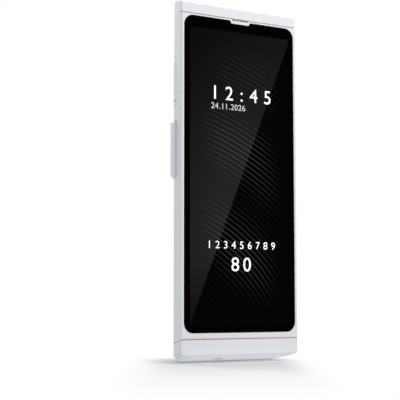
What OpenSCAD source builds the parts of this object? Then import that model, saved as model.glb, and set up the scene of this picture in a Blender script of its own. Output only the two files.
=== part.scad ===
// Handheld translator: a slim white slab with slanted ends, a tall screen,
// side keys, a SIM tray and a cap with a strap slot at the lower end.
// X runs to the right as seen from the screen side, Y to the back, Z up.
// The origin is the centre of the body, without its camera island.

/* [Body] */
// Height, at the back
body_h = 144; // [140:1:150]
// Width
body_w = 53.5; // [52.5:0.5:56]
// Thickness without the camera island
body_d = 12.5; // [12:0.25:13.5]
// Slant of both end faces, in degrees
end_slant = 14; // [10:1:16]
// Depth of the upright part of each side, from the front
side_flat = 6.2; // [6:0.1:6.6]
// Lean of each side behind its upright part, in degrees
back_taper = 34; // [26:1:36]
// Thickness of the moulded walls
wall = 1.3; // [1.2:0.1:1.5]
// Radius along the front edges
front_edge_r = 0.7; // [0.5:0.1:1.1]
// Radius along the back edges
back_edge_r = 2; // [1.5:0.1:2.4]
// Radius along the shoulder of each side
shoulder_r = 1.5; // [0.8:0.1:2]
// Corner radius at the upper end
upper_corner_r = 2; // [1.5:0.25:3.5]
// Radius of the upper corners beside the brow
brow_corner_r = 0.8; // [0.5:0.1:1.4]
// Corner radius at the lower end
lower_corner_r = 2; // [1.75:0.25:3]

/* [Lower end] */
// Height of the end cap, square to its slanted face
cap_h = 5.9; // [5.5:0.1:6.3]
// Thickness of the accent band
band_t = 0.8; // [0.6:0.1:1]
// How far the accent band lies below the surface around it
band_recess = 0.1; // [0.05:0.05:0.2]
// Width of the accent band's ring, inwards
band_ring = 2.2; // [1.9:0.1:2.5]
// Thickness of the housing's floor above the band
floor_t = 1.4; // [1.2:0.1:1.5]
// Distance of the strap slot from the middle
strap_x = 6.8; // [6.2:0.1:7.4]
// Width of the strap slot
strap_w = 3.8; // [3:0.1:4]
// Height of the strap slot's mouth in the back
strap_h = 1.95; // [1.6:0.05:2.1]
// Height of the middle of that mouth above the lower end
strap_z = 2.6; // [2.5:0.05:2.8]
// Depth of the bar that the strap goes round
strap_bar = 5; // [4:0.1:5.4]
// Distance between the two cap screws
cap_screw_span = 36; // [32:0.5:38]

/* [Front] */
// Depth of the front frame's visible rim
rim_t = 1.2; // [1.1:0.05:1.3]
// Height of the brow above the crease
brow_h = 7.25; // [7.2:0.05:7.8]
// Width of the crease between brow and front frame
crease_gap = 0.3; // [0.2:0.05:0.4]
// Width of the front frame beside the glass
side_margin = 1.3; // [1.2:0.05:1.6]
// From the glass to the top of the body
top_margin = 8.2; // [8.1:0.05:8.8]
// From the glass to the bottom of the body
bottom_margin = 11.8; // [11.6:0.1:13]
// Corner radius of the glass
glass_r = 4; // [3:0.25:5]
// Thickness of the cover glass
glass_t = 0.8; // [0.7:0.05:0.9]
// Width of the notch below the earpiece
notch_w = 9.2; // [9:0.1:11]
// Depth of the notch
notch_d = 1.1; // [0.8:0.05:1.2]
// Length of the earpiece slit
slit_w = 7.6; // [6:0.1:8]
// Height of the earpiece slit
slit_h = 0.5; // [0.3:0.05:0.5]

/* [Display and mid plate] */
// From the edge of the glass to the edge of the panel
panel_inset = 1.05; // [0.95:0.05:1.2]
// From the ends of the glass to the ends of the panel
panel_end_inset = 1.5; // [1.4:0.05:1.7]
// Thickness of the display panel
panel_t = 1.5; // [1.4:0.05:1.6]
// Thickness of the mid plate
plate_t = 0.9; // [0.8:0.05:1]
// Width of the display flex
display_flex_w = 10; // [6:0.5:11]

/* [Camera] */
// Width of the raised camera island
island_w = 17.8; // [16:0.1:18]
// Height of the island
island_h = 26.1; // [24.5:0.1:27]
// How far the island stands above the back
island_t = 0.9; // [0.7:0.05:1.1]
// Width of the island's sloping rim
island_rim = 2.7; // [1.5:0.1:2.8]
// Distance of the island from the middle of the body
island_x = 8.5; // [8:0.1:9]
// From the middle of the island to the top of the body
island_down = 25.1; // [24.6:0.1:25.4]
// Diameter of the camera window
window_d = 8.9; // [8.6:0.1:9.4]
// Diameter of the flash window
flash_d = 4.4; // [4:0.1:4.6]
// Width of the camera module
camera_w = 8.6; // [8:0.1:8.8]
// Diameter of the camera's barrel
barrel_d = 6.4; // [5.5:0.1:6.6]

/* [Keys] */
// Depth of the middle of the keys from the front
key_depth = 5.7; // [5.65:0.05:5.9]
// Width of the keys
key_w = 3; // [2.6:0.1:3.1]
// Travel of the pressed keys
key_travel = 0.3; // [0.2:0.05:0.35]
// Length of the power key
power_len = 11.9; // [10:0.1:12.2]
// From the middle of the power key to the top of the body
power_down = 20.75; // [20.7:0.05:21]
// How far the power key stands out
power_proud = 0.6; // [0.4:0.05:0.8]
// Length of each translate key
talk_len = 17.8; // [16:0.1:18]
// From the middle of the upper translate key to the top of the body
talk_upper_down = 41.65; // [41.4:0.05:41.9]
// From the middle of the lower translate key to the top of the body
talk_lower_down = 63.15; // [62.9:0.05:63.2]
// How far the translate keys and the rocker stand out
key_proud = 0.9; // [0.6:0.05:1]
// Length of the volume rocker
rocker_len = 23.3; // [20:0.1:23.5]
// From the middle of the rocker to the top of the body
rocker_down = 60.95; // [60.7:0.05:61.3]
// Tilt of the rocker each way, in degrees
rocker_tilt = 1.2; // [0.8:0.1:1.2]

/* [SIM tray] */
// Length of the tray's face
tray_face_len = 17; // [16.6:0.1:17.4]
// Width of the tray's face
tray_face_w = 2.4; // [2.2:0.1:2.4]
// From the middle of the tray's face to the top of the body
tray_down = 35.5; // [35.3:0.05:35.7]
// Width of the tray behind its face
tray_w = 11.5; // [11.2:0.1:11.6]
// Reach of the tray from the outside of the body
tray_len = 18.2; // [17.6:0.1:18.6]
// Thickness of the tray
tray_t = 0.9; // [0.85:0.05:1]
// Diameter of the eject hole
eject_d = 0.9; // [0.7:0.05:1]

/* [Inside] */
// Thickness of the main board
board_t = 0.8; // [0.7:0.05:1]
// Height of the main board
board_h = 61.5; // [61:0.1:61.8]
// From the main board to the top of the body
board_down = 5.5; // [5.4:0.05:5.8]
// From the battery to the bottom of the body
battery_up = 15.5; // [15.4:0.1:16]
// Gap between the battery and the ribs beside it
battery_gap = 0.9; // [0.6:0.1:3]
// Radius of the screw bosses
boss_r = 1.7; // [1.5:0.05:1.8]
// Radius of the screws' shanks
screw_r = 0.55; // [0.5:0.05:0.6]
// Radius of the screws' heads
head_r = 1.2; // [1.1:0.05:1.25]
// Height of the screws' heads
head_h = 0.45; // [0.4:0.05:0.5]

/* [Fits] */
// Running gap round the keys and the SIM tray's face
key_gap = 0.12; // [0.1:0.01:0.14]
// Gap round pieces that drop into a seat
seat_gap = 0.1; // [0.08:0.01:0.14]
// Thickness of tapes and glue lines
glue_t = 0.1; // [0.08:0.01:0.12]

/* [Hidden] */

white = [0.86, 0.86, 0.87];
copper = [0.72, 0.5, 0.42];
glass_black = [0.02, 0.02, 0.025];
metal = [0.7, 0.7, 0.72];
board_green = [0.1, 0.3, 0.2];
flex_amber = [0.72, 0.45, 0.15];
dark = [0.12, 0.12, 0.13];

round_fn = 48;          // sides of bores, pins and round ends
small_fn = 32;          // sides of small holes and nubs
large_fn = 96;          // sides of the camera island
arc_steps = 6;          // straight steps in each rounded corner
rim_steps = 8;          // straight steps in the island's rim
fine_r = 0.3;           // least radius of an inner corner
ease = 0.02;            // how far a rounding cutter stands outside the faces it rounds
span = 2 * body_h;      // reach of the half-spaces and cutters
over = 0.5;             // how far a cut runs past the face it opens

// Depths from the front, one layer behind the other
front_y = -body_d / 2;
back_y = body_d / 2;
shoulder_y = front_y + side_flat;
rim_y = front_y + rim_t;
ledge_y = front_y + glass_t + glue_t;
panel_back_y = ledge_y + panel_t;
plate_y = panel_back_y + glue_t;
plate_back_y = plate_y + plate_t;
pad_t = 0.4;
board_y = plate_back_y + pad_t;
board_back_y = board_y + board_t;
inner_back_y = back_y - wall;
inner_x = body_w / 2 - wall;
// half width of the flat back wall inside
inner_back_x = inner_x - (inner_back_y - shoulder_y + wall * tan(back_taper / 2)) * tan(back_taper);

// Levels square to the slanted lower face
seat_h = cap_h + band_t;
floor_h = seat_h + floor_t;

// Height h above the lower end, and depth h below the upper end
function up(h) = h - body_h / 2;
function down(h) = body_h / 2 - h;
// Height of a plane at level h over the slanted lower face, at depth y
function lower_plane(h, y) = -body_h / 2 + (back_y - y) * tan(end_slant) + h / cos(end_slant);

// Glass and panel
crease_z = down(brow_h);
glass_half = body_w / 2 - side_margin;
glass_z0 = up(bottom_margin);
glass_z1 = down(top_margin);
panel_half = glass_half - panel_inset;
panel_z0 = glass_z0 + panel_end_inset;
panel_z1 = glass_z1 - panel_end_inset;
panel_gap = 0.2;
notch_slope = 0.6;      // how much the notch narrows at each end

// Hooks of the front frame
hook_l = 5;
hook_reach = 0.35;
hook_y0 = panel_back_y - 0.75;
hook_y1 = panel_back_y - 0.15;
hook_end = 30;          // from the ends of the body to the outermost hooks
hook_count = 4;
hook_levels = [for (i = [0:hook_count - 1]) up(hook_end) + i * (body_h - 2 * hook_end) / (hook_count - 1)];

// Earpiece
slit_z = glass_z1 + 0.35;
mesh_t = 0.1;
mesh_y = ledge_y + 0.8;
mesh_margin = 1;
receiver_w = 12;
receiver_z0 = panel_z1 + 0.9;
receiver_z1 = down(4.8);
receiver_y0 = mesh_y + mesh_t + seat_gap;

// Camera and flash
lens_z = down(island_down) + (island_h - island_w) / 2;
flash_z = down(island_down) - (island_h - island_w) / 2;
island_y = back_y + island_t;
window_t = 0.9;
window_sink = 0.1;
window_ledge = 0.65;
window_y0 = island_y - window_t - window_sink;
camera_shoulder_y = inner_back_y - 1.6;
camera_r = 0.8;
barrel_y = window_y0 - 0.3;
camera_lens_d = 3.4;
camera_lens_t = 0.9;
camera_lens_sink = 0.1;
flash_board_y = inner_back_y - 1.65;
flash_foot = 0.4;       // how far the flash window reaches in past the back wall
led = [2, 0.75, 2];
camera_flex_w = 3.6;
camera_flex_turn = 2.6; // from the flash to the turn of the camera flex

// Keys
key_y = front_y + key_depth;
power_z = down(power_down);
talk_upper_z = down(talk_upper_down);
talk_lower_z = down(talk_lower_down);
rocker_z = down(rocker_down);
right_keys = [[power_z, power_len], [talk_upper_z, talk_len], [talk_lower_z, talk_len]];
key_slope = 1.2;        // how far each end of a key slopes in
key_edge_r = 0.4;
nub_r = 0.6;
// Layers of the key assembly, inwards from the inside of the wall
flange_t = 0.6;
flange_reach = 0.8;
flange_room = 2;
flange_back = seat_gap + flange_t;
nub_back = 0.95;
tip_gap = 0.05;         // least gap between a nub and its switch
switch_tip = nub_back + key_travel + tip_gap;
actuator_t = 0.3;
actuator_r = 0.7;
switch_t = 0.8;
switch_w = 2.4;
switch_l = 3.6;
flex_t = 0.15;
key_flex_w = 2.8;
bracket_t = 0.5;
bracket_half = 1.9;
flex_back = switch_tip + actuator_t + switch_t;
bracket_front = flex_back + flex_t;
bracket_back = bracket_front + bracket_t;
rib_t = 0.9;
rib_end_gap = 2.1;      // from the end of a key to the rib beyond it
rib_depth = bracket_back + 0.7;
right_ribs = [
    power_z + power_len / 2 + rib_end_gap,
    (power_z - power_len / 2 + talk_upper_z + talk_len / 2) / 2,
    (talk_upper_z + talk_lower_z) / 2,
    talk_lower_z - talk_len / 2 - rib_end_gap,
];
left_ribs = [rocker_z + rocker_len / 2 + rib_end_gap, rocker_z - rocker_len / 2 - rib_end_gap];
rocker_press = 7.5;     // from the rocker's middle to each of its switches
rocker_swing = (rocker_len / 2 + flange_reach) * sin(rocker_tilt);
// round fulcrum on which the rocker tilts, just clear of the flex
fulcrum_r = 0.4;
fulcrum_w = 2.4;
fulcrum_x = inner_x - flex_back + 2 * seat_gap + fulcrum_r;

// Main board
board_side_gap = 3.95;  // beside the board, where the keys' brackets stand
board_half = inner_x - board_side_gap;
board_z0 = down(board_down + board_h);
board_z1 = down(board_down);
board_r = 1;
connector_up = 16;      // from the board's lower edge to its connectors
connector_z0 = board_z0 + connector_up;
connector_h = 3;
connector_w = display_flex_w - 1;
display_plug_t = 0.85;
plug_t = 0.65;
plug_h = 2.4;
battery_plug_w = 7;
battery_plug_z0 = board_z0 + 0.8;
camera_plug_w = 4.8;
camera_plug_z0 = flash_z - 6.6;
can_t = 1.8;
can_sheet = 0.25;
can_r = 0.6;
can_border = 1.2;
can_step = 0.1;
radio_clear = 1.4;      // from the camera module to the radio shield
pad_down = 21;          // from the board's upper edge to the thermal pad
processor_can = [19, 21];
processor_in = 8.4;     // from the board's edge to the processor's can
processor_x1 = board_half - processor_in;
processor_up = 5;
processor_z0 = board_z0 + processor_up;
radio_edge = 0.4;       // from the radio shield to the board's edge
radio_x0 = island_x + camera_w / 2 + radio_clear;
radio_h = 17;
radio_z0 = processor_z0 + processor_can.y + 3;
pad_half = 13;
pad_z0 = connector_z0 + connector_h + 1.5;
pad_z1 = board_z1 - pad_down;

// Display flex, from its foot on the panel to its plug
flex_recess = 0.3;
flex_z0 = panel_z0 + 3;
flex_bend = 2;
flex_lead = 0.3;

// SIM tray, its card and its reader
tray_z = down(tray_down);
tray_slack = 0.1;       // gap round the tray inside its reader
reader_skin = 0.2;
reader_wall = 0.4;
tray_y0 = board_back_y + reader_skin;
tray_mid_y = tray_y0 + tray_t / 2;
tray_rise = 1.45;       // how far the tray lies above the middle of its face
tray_body_z = tray_z + tray_rise;
tray_face_t = 1.3;
tray_tip = 1;           // from the card to the inner end of the tray
tray_lip = 1;           // width of the lip under the card's edges
reader_in = board_half + 0.4;
reader_window = [4, 7];
reader_window_x = 2.2;
reader_window_pitch = 6.5;
card = [12.3, 0.67, 8.8];
card_cut = 1.6;
eject_offset = 6.4;     // from the middle of the tray's face to the eject hole

// Battery
battery_half = inner_x - rib_depth - battery_gap;
battery_z0 = up(battery_up);
battery_z1 = board_z0 - 2.5;
battery_y0 = board_back_y;
battery_y1 = inner_back_y - glue_t;
cell_r = 1.6;
cell_tape = [10, 3];    // width of each strip of tape, and how far its ends lie inside the cell's
cell_tape_x = battery_half / 2 + 0.4;
cell_rib_gap = 0.4;
cell_rib_t = 0.9;
cell_rib_h = 3.6;
cell_rib_inset = 3;
battery_flex_w = 6;
battery_flex_y = 1.25;  // depth of the flex's start on the cell
battery_flex_rise = 1.15;

// Screws: [x, z] of those through the mid plate and of those through the board
boss_x = inner_x - 1.45;
boss_below_ribs = 7.3;
mid_boss_z = min(min(left_ribs), min(right_ribs)) - boss_below_ribs;
lower_boss_up = 20;
upper_boss_down = 9;
plate_bosses = [for (z = [up(lower_boss_up), mid_boss_z, down(upper_boss_down)], side = [-1, 1])
    [side * boss_x, z]];
boss_edge = 2.3;        // from the board's edges to its lower bosses
side_boss_in = 3.7;     // from the board's edge to the boss beside the camera
side_boss_down = 15;
mid_boss_x = -1.9;
mid_boss_down = 20;
board_bosses = [[boss_edge - board_half, board_z0 + boss_edge], [board_half - boss_edge, board_z0 + boss_edge],
                [board_half - side_boss_in, down(side_boss_down)], [mid_boss_x, down(mid_boss_down)]];
plate_screw_l = 4;
bore_slack = 0.05;      // between a screw and its pilot hole
screw_pass = 0.15;      // between a screw and the plate it goes through
floor_pass = 0.25;      // between a cap screw and the housing's floor
cross_w = 0.3;          // width of the screws' cross slots

// Port
port_w = 8.94;
port_t = 3.26;
port_wall = 0.3;
port_y = board_back_y + port_t / 2;
port_mouth = lower_plane(0, port_y - port_t / 2);
port_top_z = -port_mouth - 0.15;
port_len = 7.4;
port_gap = 0.15;
port_base = 1.6;
tongue = [6.7, 0.7, 4.6];

// Sound: loudspeaker between the port and the left wall, microphones behind the walls' holes
speaker_wall_gap = 4.85;
speaker_port_gap = 2.53;
speaker_down = 19.5;
speaker_x0 = speaker_wall_gap - inner_x;
speaker_x1 = -port_w / 2 - speaker_port_gap;
speaker_x = (speaker_x0 + speaker_x1) / 2;
speaker_z0 = down(speaker_down);
speaker_r = 0.6;
speaker_back_gap = 0.3;
speaker_holes = 5;
speaker_pitch = 2.4;
speaker_hole_r = 0.6;
speaker_hole_off = 1;   // from the middle of the end face to the holes
speaker_mesh_h = 3;
speaker_mesh_margin = 0.5;
mic_hole_r = 0.4;
mic = [2.8, 1.1, 1.9];
boot_r = 0.9;
mic_top_x = board_half - 5.9;
mic_side_down = 24;
mic_side_z = down(mic_side_down);
mic_edge = 0.2;
mic_z0 = board_z1 - 3;
mic_y = board_back_y + boot_r;
// the same depth, along the slanted upper face
mic_upper_y = -(back_y - mic_y) / cos(end_slant);

// Vibration motor, and the low ribs above it
motor_r = 4;
motor_t = 2.7;
motor_in = 8.9;         // from the board's edges to the middle of the motor
motor_up = 13;
motor_x = motor_in - board_half;
motor_z = board_z0 + motor_up;
stiff_ribs = 3;
stiff_rib_h = 1.2;
stiff_rib_pitch = 5;
stiff_rib_in = 2.9;
stiff_rib_x0 = stiff_rib_in - board_half;
stiff_rib_x1 = 2;
stiff_rib_z0 = motor_z + motor_r + 5;

// Antennas
antenna_port_gap = 4.53;
antenna_edge = 2.8;
upper_antenna_down = [11.5, 5];
lower_antenna_edge = 6.8;
upper_antenna_x = [port_w / 2 + antenna_port_gap, inner_back_x - antenna_edge];
upper_antenna_z = [down(upper_antenna_down[0]), down(upper_antenna_down[1])];
lower_antenna_half = inner_back_x - lower_antenna_edge;
lower_antenna_gap = 2;

// End cap
cap_wall = 1.5;
cap_screw_l = 6;
cap_front_wall = 3;
cap_back_wall = 2.5;
cap_screw_land = 3;     // from a cap screw to the pocket beside it
cap_web_x = 4;          // place of the web between the two right-hand pockets
cap_pockets = [
    [cap_screw_land - cap_screw_span / 2, -strap_x - strap_w / 2 - cap_wall],
    [strap_w / 2 - strap_x + cap_wall, cap_web_x],
    [cap_web_x + cap_wall, cap_screw_span / 2 - cap_screw_land],
];

// ---------- outlines ----------

function unit(v) = v / norm(v);

// Points of the arc that rounds corner p, between a and b, with radius r
function corner(a, p, b, r) =
    let (u = unit(a - p), v = unit(b - p), half = acos(u * v) / 2,
         centre = p + unit(u + v) * r / sin(half),
         s = p + u * r / tan(half) - centre, e = p + v * r / tan(half) - centre,
         start = atan2(s.y, s.x), turn = atan2(s.x * e.y - s.y * e.x, s * e))
    [for (i = [0:arc_steps])
        centre + r * [cos(start + turn * i / arc_steps), sin(start + turn * i / arc_steps)]];

// Closed outline through [x, y, r] corners, each rounded with its own r
function rounded(pts) =
    let (n = len(pts))
    [for (i = [0:n - 1])
        let (a = pts[(i + n - 1) % n], p = pts[i], b = pts[(i + 1) % n])
        each (p.z > 0 ? corner([a.x, a.y], [p.x, p.y], [b.x, b.y], p.z) : [[p.x, p.y]])];

// Cross-section of the body, set in by g all round
function section(g) =
    let (front = front_y + g, back = back_y - g, x = body_w / 2 - g,
         turn_y = shoulder_y - g * tan(back_taper / 2),
         back_x = x - (back - turn_y) * tan(back_taper),
         side = [[x, front, max(front_edge_r - g, fine_r)], [x, turn_y, max(shoulder_r - g, fine_r)],
                 [back_x, back, max(back_edge_r - g, fine_r)]])
    concat(side, [for (i = [2:-1:0]) [-side[i].x, side[i].y, side[i].z]]);

// Side view of the body, set in by g all round
function profile(g) =
    let (front = front_y + g, back = back_y - g,
         z_back = lower_plane(g, back), z_front = lower_plane(g, front),
         r = max(front_edge_r - g, fine_r))
    [[front, z_front, r], [back, z_back, r], [back, -z_back, r], [front, -z_front, r]];

// Upright rectangle in X and Z from (-x, z0) to (x, z1), rounded with r
function plate_outline(x, z0, z1, r) = rounded([[-x, z0, r], [x, z0, r], [x, z1, r], [-x, z1, r]]);

// ---------- placing ----------

// Extrudes an X-Z outline from depth y0 to depth y1
module between_y(y0, y1) {
    translate([0, y1, 0]) rotate([90, 0, 0]) linear_extrude(height = y1 - y0) children();
}

// Extrudes a Y-Z outline from x0 to x1
module between_x(x0, x1) {
    translate([x0, 0, 0]) rotate([90, 0, 90]) linear_extrude(height = x1 - x0) children();
}

// Draws on the right side for 1, and mirrored on the left side for -1
module on_side(side) {
    mirror([side < 0 ? 1 : 0, 0, 0]) children();
}

module block(x0, x1, y0, y1, z0, z1) {
    translate([x0, y0, z0]) cube([x1 - x0, y1 - y0, z1 - z0]);
}

// Cylinder along Y at (x, z)
module pin_y(x, z, y0, y1, r) {
    translate([x, y1, z]) rotate([90, 0, 0]) cylinder(r = r, h = y1 - y0, $fn = round_fn);
}

// Frame whose Z axis is square to the slanted lower face, with its origin on that face's back edge
module lower_end() {
    translate([0, back_y, -body_h / 2]) rotate([-end_slant, 0, 0]) children();
}

module upper_end() {
    mirror([0, 0, 1]) lower_end() children();
}

// All that lies more than h inside the slanted face of the end it is placed at
module beyond(h) {
    translate([-span / 2, -span / 2, h]) cube(span);
}

// A flat bar with round ends, length l along Z and width w along Y, from x0 to x1
module bar_x(x0, x1, y, z, w, l) {
    for (end = [-1, 1])
        translate([x0, y, z + end * (l - w) / 2]) rotate([0, 90, 0])
            cylinder(d = w, h = x1 - x0, $fn = round_fn);
    block(x0, x1, y - w / 2, y + w / 2, z - (l - w) / 2, z + (l - w) / 2);
}

// ---------- the body's form ----------

module end_cutter(g, r) {
    x = body_w / 2 - g + ease;
    inner_r = max(r - g, fine_r);
    between_y(-span / 2, span / 2)
        polygon(rounded([[-x, g, inner_r], [x, g, inner_r], [x, span, 0], [-x, span, 0]]));
}

// Wedge between the leaning face of a side and the slanted lower end, its edge rounded with r.
// The frame it is drawn in has Z along that edge and X in the end face.
module lean_cutter(side, g, r) {
    set_in = g - ease;
    lean = [side * cos(back_taper), sin(back_taper), 0];
    end = [0, -sin(end_slant), -cos(end_slant)];
    edge = unit(cross(lean, end));
    inward = cross(edge, end);
    up_side = cross(lean, edge);
    y = shoulder_y - set_in * tan(back_taper / 2);
    p = [side * (body_w / 2 - set_in), y, lower_plane(set_in, y)];
    multmatrix([for (i = [0:2]) [inward[i], -end[i], edge[i], p[i]]])
        translate([0, 0, -span / 2]) linear_extrude(height = span)
            polygon(rounded([[span, 0, 0], [0, 0, max(r - g, fine_r)],
                             [span * (up_side * inward), -span * (up_side * end), 0], [span, span, 0]]));
}

// The outside of the body, set in by g all round
module body_form(g = 0) {
    intersection() {
        translate([0, 0, -body_h]) linear_extrude(height = span) polygon(rounded(section(g)));
        between_x(-body_w, body_w) polygon(rounded(profile(g - ease)));
        lower_end() end_cutter(g, lower_corner_r);
        upper_end() end_cutter(g, brow_corner_r);
        lean_cutter(1, g, lower_corner_r);
        lean_cutter(-1, g, lower_corner_r);
        mirror([0, 0, 1]) lean_cutter(1, g, upper_corner_r);
        mirror([0, 0, 1]) lean_cutter(-1, g, upper_corner_r);
    }
}

// The hollow of the rear housing, open to the front below the brow
module housing_hollow() {
    intersection() {
        lower_end() beyond(floor_h);
        union() {
            body_form(wall);
            between_y(front_y - over, front_y + wall + over)
                polygon(rounded([[-inner_x, -body_h, 0], [inner_x, -body_h, 0],
                                 [inner_x, crease_z, glass_t], [-inner_x, crease_z, glass_t]]));
        }
    }
}

// ---------- rear housing ----------

// [distance inwards, height] along the island's rim, flat at its foot and at its top
island_curve = [for (i = [0:rim_steps])
    [island_rim * i / rim_steps, island_t * (1 - cos(180 * i / rim_steps)) / 2]];

// One lobed form with round ends and an eased rim
module island_form() {
    r = island_w / 2;
    reach = (island_h - island_w) / 2;
    edge = [for (p = island_curve) [r - p.x, p.y]];
    translate([island_x, back_y, down(island_down)]) {
        for (end = [-1, 1])
            translate([0, 0, end * reach]) rotate([-90, 0, 0])
                rotate_extrude($fn = large_fn) polygon(concat([[0, -over], [r, -over]], edge, [[0, island_t]]));
        translate([0, 0, -reach]) linear_extrude(height = 2 * reach)
            polygon(concat([[-r, -over], [r, -over]], edge,
                           [for (i = [rim_steps:-1:0]) [-edge[i].x, edge[i].y]]));
    }
}

module housing_bosses() {
    for (p = plate_bosses) pin_y(p.x, p.y, plate_back_y, back_y, boss_r);
    for (p = board_bosses) pin_y(p.x, p.y, board_back_y, back_y, boss_r);
}

// Ribs across a side wall that carry a key bracket in their slots
module key_ribs(side, levels) {
    on_side(side) for (z = levels)
        difference() {
            block(inner_x - rib_depth, body_w / 2, key_y - bracket_half, back_y, z - rib_t / 2, z + rib_t / 2);
            block(inner_x - bracket_back - seat_gap / 2, inner_x - bracket_front + seat_gap / 2,
                  front_y, key_y + bracket_half + seat_gap / 2, z - rib_t, z + rib_t);
        }
}

// Ribs on the back wall: two that hold the battery, and low ones that stiffen the wall behind the board
module back_ribs() {
    half = battery_half - cell_rib_inset;
    for (z = [battery_z0 - cell_rib_gap - cell_rib_t, battery_z1 + cell_rib_gap])
        block(-half, half, inner_back_y - cell_rib_h, back_y, z, z + cell_rib_t);
    for (i = [0:stiff_ribs - 1])
        block(stiff_rib_x0, stiff_rib_x1, inner_back_y - stiff_rib_h, back_y,
              stiff_rib_z0 + stiff_rib_pitch * i, stiff_rib_z0 + stiff_rib_pitch * i + cell_rib_t);
}

// Opening for a key through a side wall
module key_opening(side, z, l) {
    on_side(side)
        bar_x(inner_x - over, body_w / 2 + over, key_y, z, key_w + 2 * key_gap, l + 2 * key_gap);
}

// Flat pocket inside the wall in which a key's flange moves
module flange_pocket(side, z, l) {
    reach = l / 2 + flange_reach + 3 * key_gap;
    on_side(side)
        block(inner_x - flange_room, inner_x, key_y - key_w / 2 - flange_reach, key_y + key_w / 2 + 2 * key_gap,
              z - reach, z + reach);
}

module hook_pockets() {
    for (z = hook_levels, side = [-1, 1]) on_side(side)
        block(inner_x - over, inner_x + hook_reach + seat_gap / 2, hook_y0 - seat_gap, hook_y1 + seat_gap,
              z - hook_l / 2 - seat_gap, z + hook_l / 2 + seat_gap);
}

module port_outline(extra) {
    for (side = [-1, 1]) translate([side * (port_w - port_t) / 2, 0])
        circle(d = port_t + 2 * extra, $fn = round_fn);
    square([port_w - port_t, port_t + 2 * extra], center = true);
}

module camera_openings() {
    for (w = [[lens_z, window_d], [flash_z, flash_d]]) {
        pin_y(island_x, w[0], window_y0, island_y + over, w[1] / 2 + seat_gap);
        pin_y(island_x, w[0], inner_back_y - over, island_y, w[1] / 2 - window_ledge);
    }
}

module rear_housing() {
    color(white) difference() {
        union() {
            difference() {
                intersection() {
                    body_form();
                    lower_end() beyond(seat_h);
                }
                housing_hollow();
            }
            intersection() {
                body_form(wall / 2);
                lower_end() beyond(seat_h + floor_t / 2);
                union() {
                    housing_bosses();
                    back_ribs();
                    key_ribs(1, right_ribs);
                    key_ribs(-1, left_ribs);
                }
            }
            island_form();
        }
        // the front frame's place, below the brow
        block(-body_w, body_w, front_y - over, rim_y, -body_h, crease_z);
        camera_openings();
        for (k = right_keys) {
            key_opening(1, k[0], k[1]);
            flange_pocket(1, k[0], k[1]);
        }
        key_opening(-1, rocker_z, rocker_len);
        flange_pocket(-1, rocker_z, rocker_len);
        bar_x(-body_w, over - inner_x, tray_mid_y, tray_z,
              tray_face_w + 2 * key_gap, tray_face_len + 2 * key_gap);
        hook_pockets();
        for (p = plate_bosses)
            pin_y(p.x, p.y, plate_back_y - over, plate_back_y + plate_screw_l, screw_r + bore_slack);
        for (p = board_bosses)
            pin_y(p.x, p.y, board_back_y - over, board_back_y + plate_screw_l, screw_r + bore_slack);
        // screw holes through the floor
        lower_end() for (side = [-1, 1])
            translate([side * cap_screw_span / 2, -body_d / 2, 0])
                cylinder(r = screw_r + floor_pass, h = floor_h + over, $fn = round_fn);
        // openings in the upper end
        translate([0, port_y, port_top_z - port_len]) linear_extrude(height = 2 * port_len)
            port_outline(port_gap);
        upper_end() {
            for (i = [0:speaker_holes - 1])
                translate([speaker_x + (i - (speaker_holes - 1) / 2) * speaker_pitch,
                           speaker_hole_off - body_d / 2, -over])
                    cylinder(r = speaker_hole_r, h = wall + 2 * over, $fn = small_fn);
            translate([mic_top_x, mic_upper_y, -over])
                cylinder(r = mic_hole_r, h = wall + 2 * over, $fn = small_fn);
        }
        translate([-body_w / 2 - over, mic_y, mic_side_z]) rotate([0, 90, 0])
            cylinder(r = mic_hole_r, h = wall + 2 * over, $fn = small_fn);
    }
}

// ---------- front ----------

// Trapezoid that hangs from the top edge of the glass, wider by g all round
module notch_outline(g) {
    half = notch_w / 2 + g;
    polygon([[-half, glass_z1 + over], [half, glass_z1 + over], [half, glass_z1],
             [half - notch_slope, glass_z1 - notch_d - g], [notch_slope - half, glass_z1 - notch_d - g],
             [-half, glass_z1]]);
}

module front_frame() {
    skirt_z0 = lower_plane(floor_h, ledge_y) + seat_gap;
    top_z = crease_z - crease_gap;
    color(white) difference() {
        union() {
            intersection() {
                body_form();
                lower_end() beyond(seat_h);
                block(-body_w, body_w, front_y - over, rim_y, -body_h, top_z);
            }
            between_y(ledge_y, panel_back_y)
                polygon(plate_outline(inner_x - seat_gap, skirt_z0, top_z, lower_corner_r - wall + fine_r));
            for (z = hook_levels, side = [-1, 1]) on_side(side)
                block(inner_x - seat_gap - over, inner_x - seat_gap + hook_reach, hook_y0, hook_y1,
                      z - hook_l / 2, z + hook_l / 2);
        }
        // pocket of the glass, round the tab below the earpiece
        between_y(front_y - over, ledge_y) difference() {
            polygon(plate_outline(glass_half + seat_gap, glass_z0 - seat_gap, glass_z1 + seat_gap, glass_r));
            notch_outline(0);
        }
        between_y(ledge_y - over, panel_back_y + over)
            polygon(plate_outline(panel_half + panel_gap, panel_z0 - panel_gap, panel_z1 + panel_gap, fine_r));
        // earpiece slit and the seat of its mesh
        block(-slit_w / 2, slit_w / 2, front_y - over, panel_back_y + over,
              slit_z - slit_h / 2, slit_z + slit_h / 2);
        block(-receiver_w / 2 - seat_gap, receiver_w / 2 + seat_gap, mesh_y, panel_back_y + over,
              panel_z1, top_z + over);
    }
}

module cover_glass() {
    color(glass_black) between_y(front_y, front_y + glass_t) difference() {
        polygon(plate_outline(glass_half, glass_z0, glass_z1, glass_r));
        notch_outline(seat_gap);
    }
}

module display_adhesive() {
    color(dark) between_y(front_y + glass_t, ledge_y)
        polygon(plate_outline(panel_half, panel_z0, panel_z1, fine_r));
}

module display_panel() {
    color(dark) between_y(ledge_y, panel_back_y)
        polygon(plate_outline(panel_half, panel_z0, panel_z1, fine_r));
}

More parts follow.
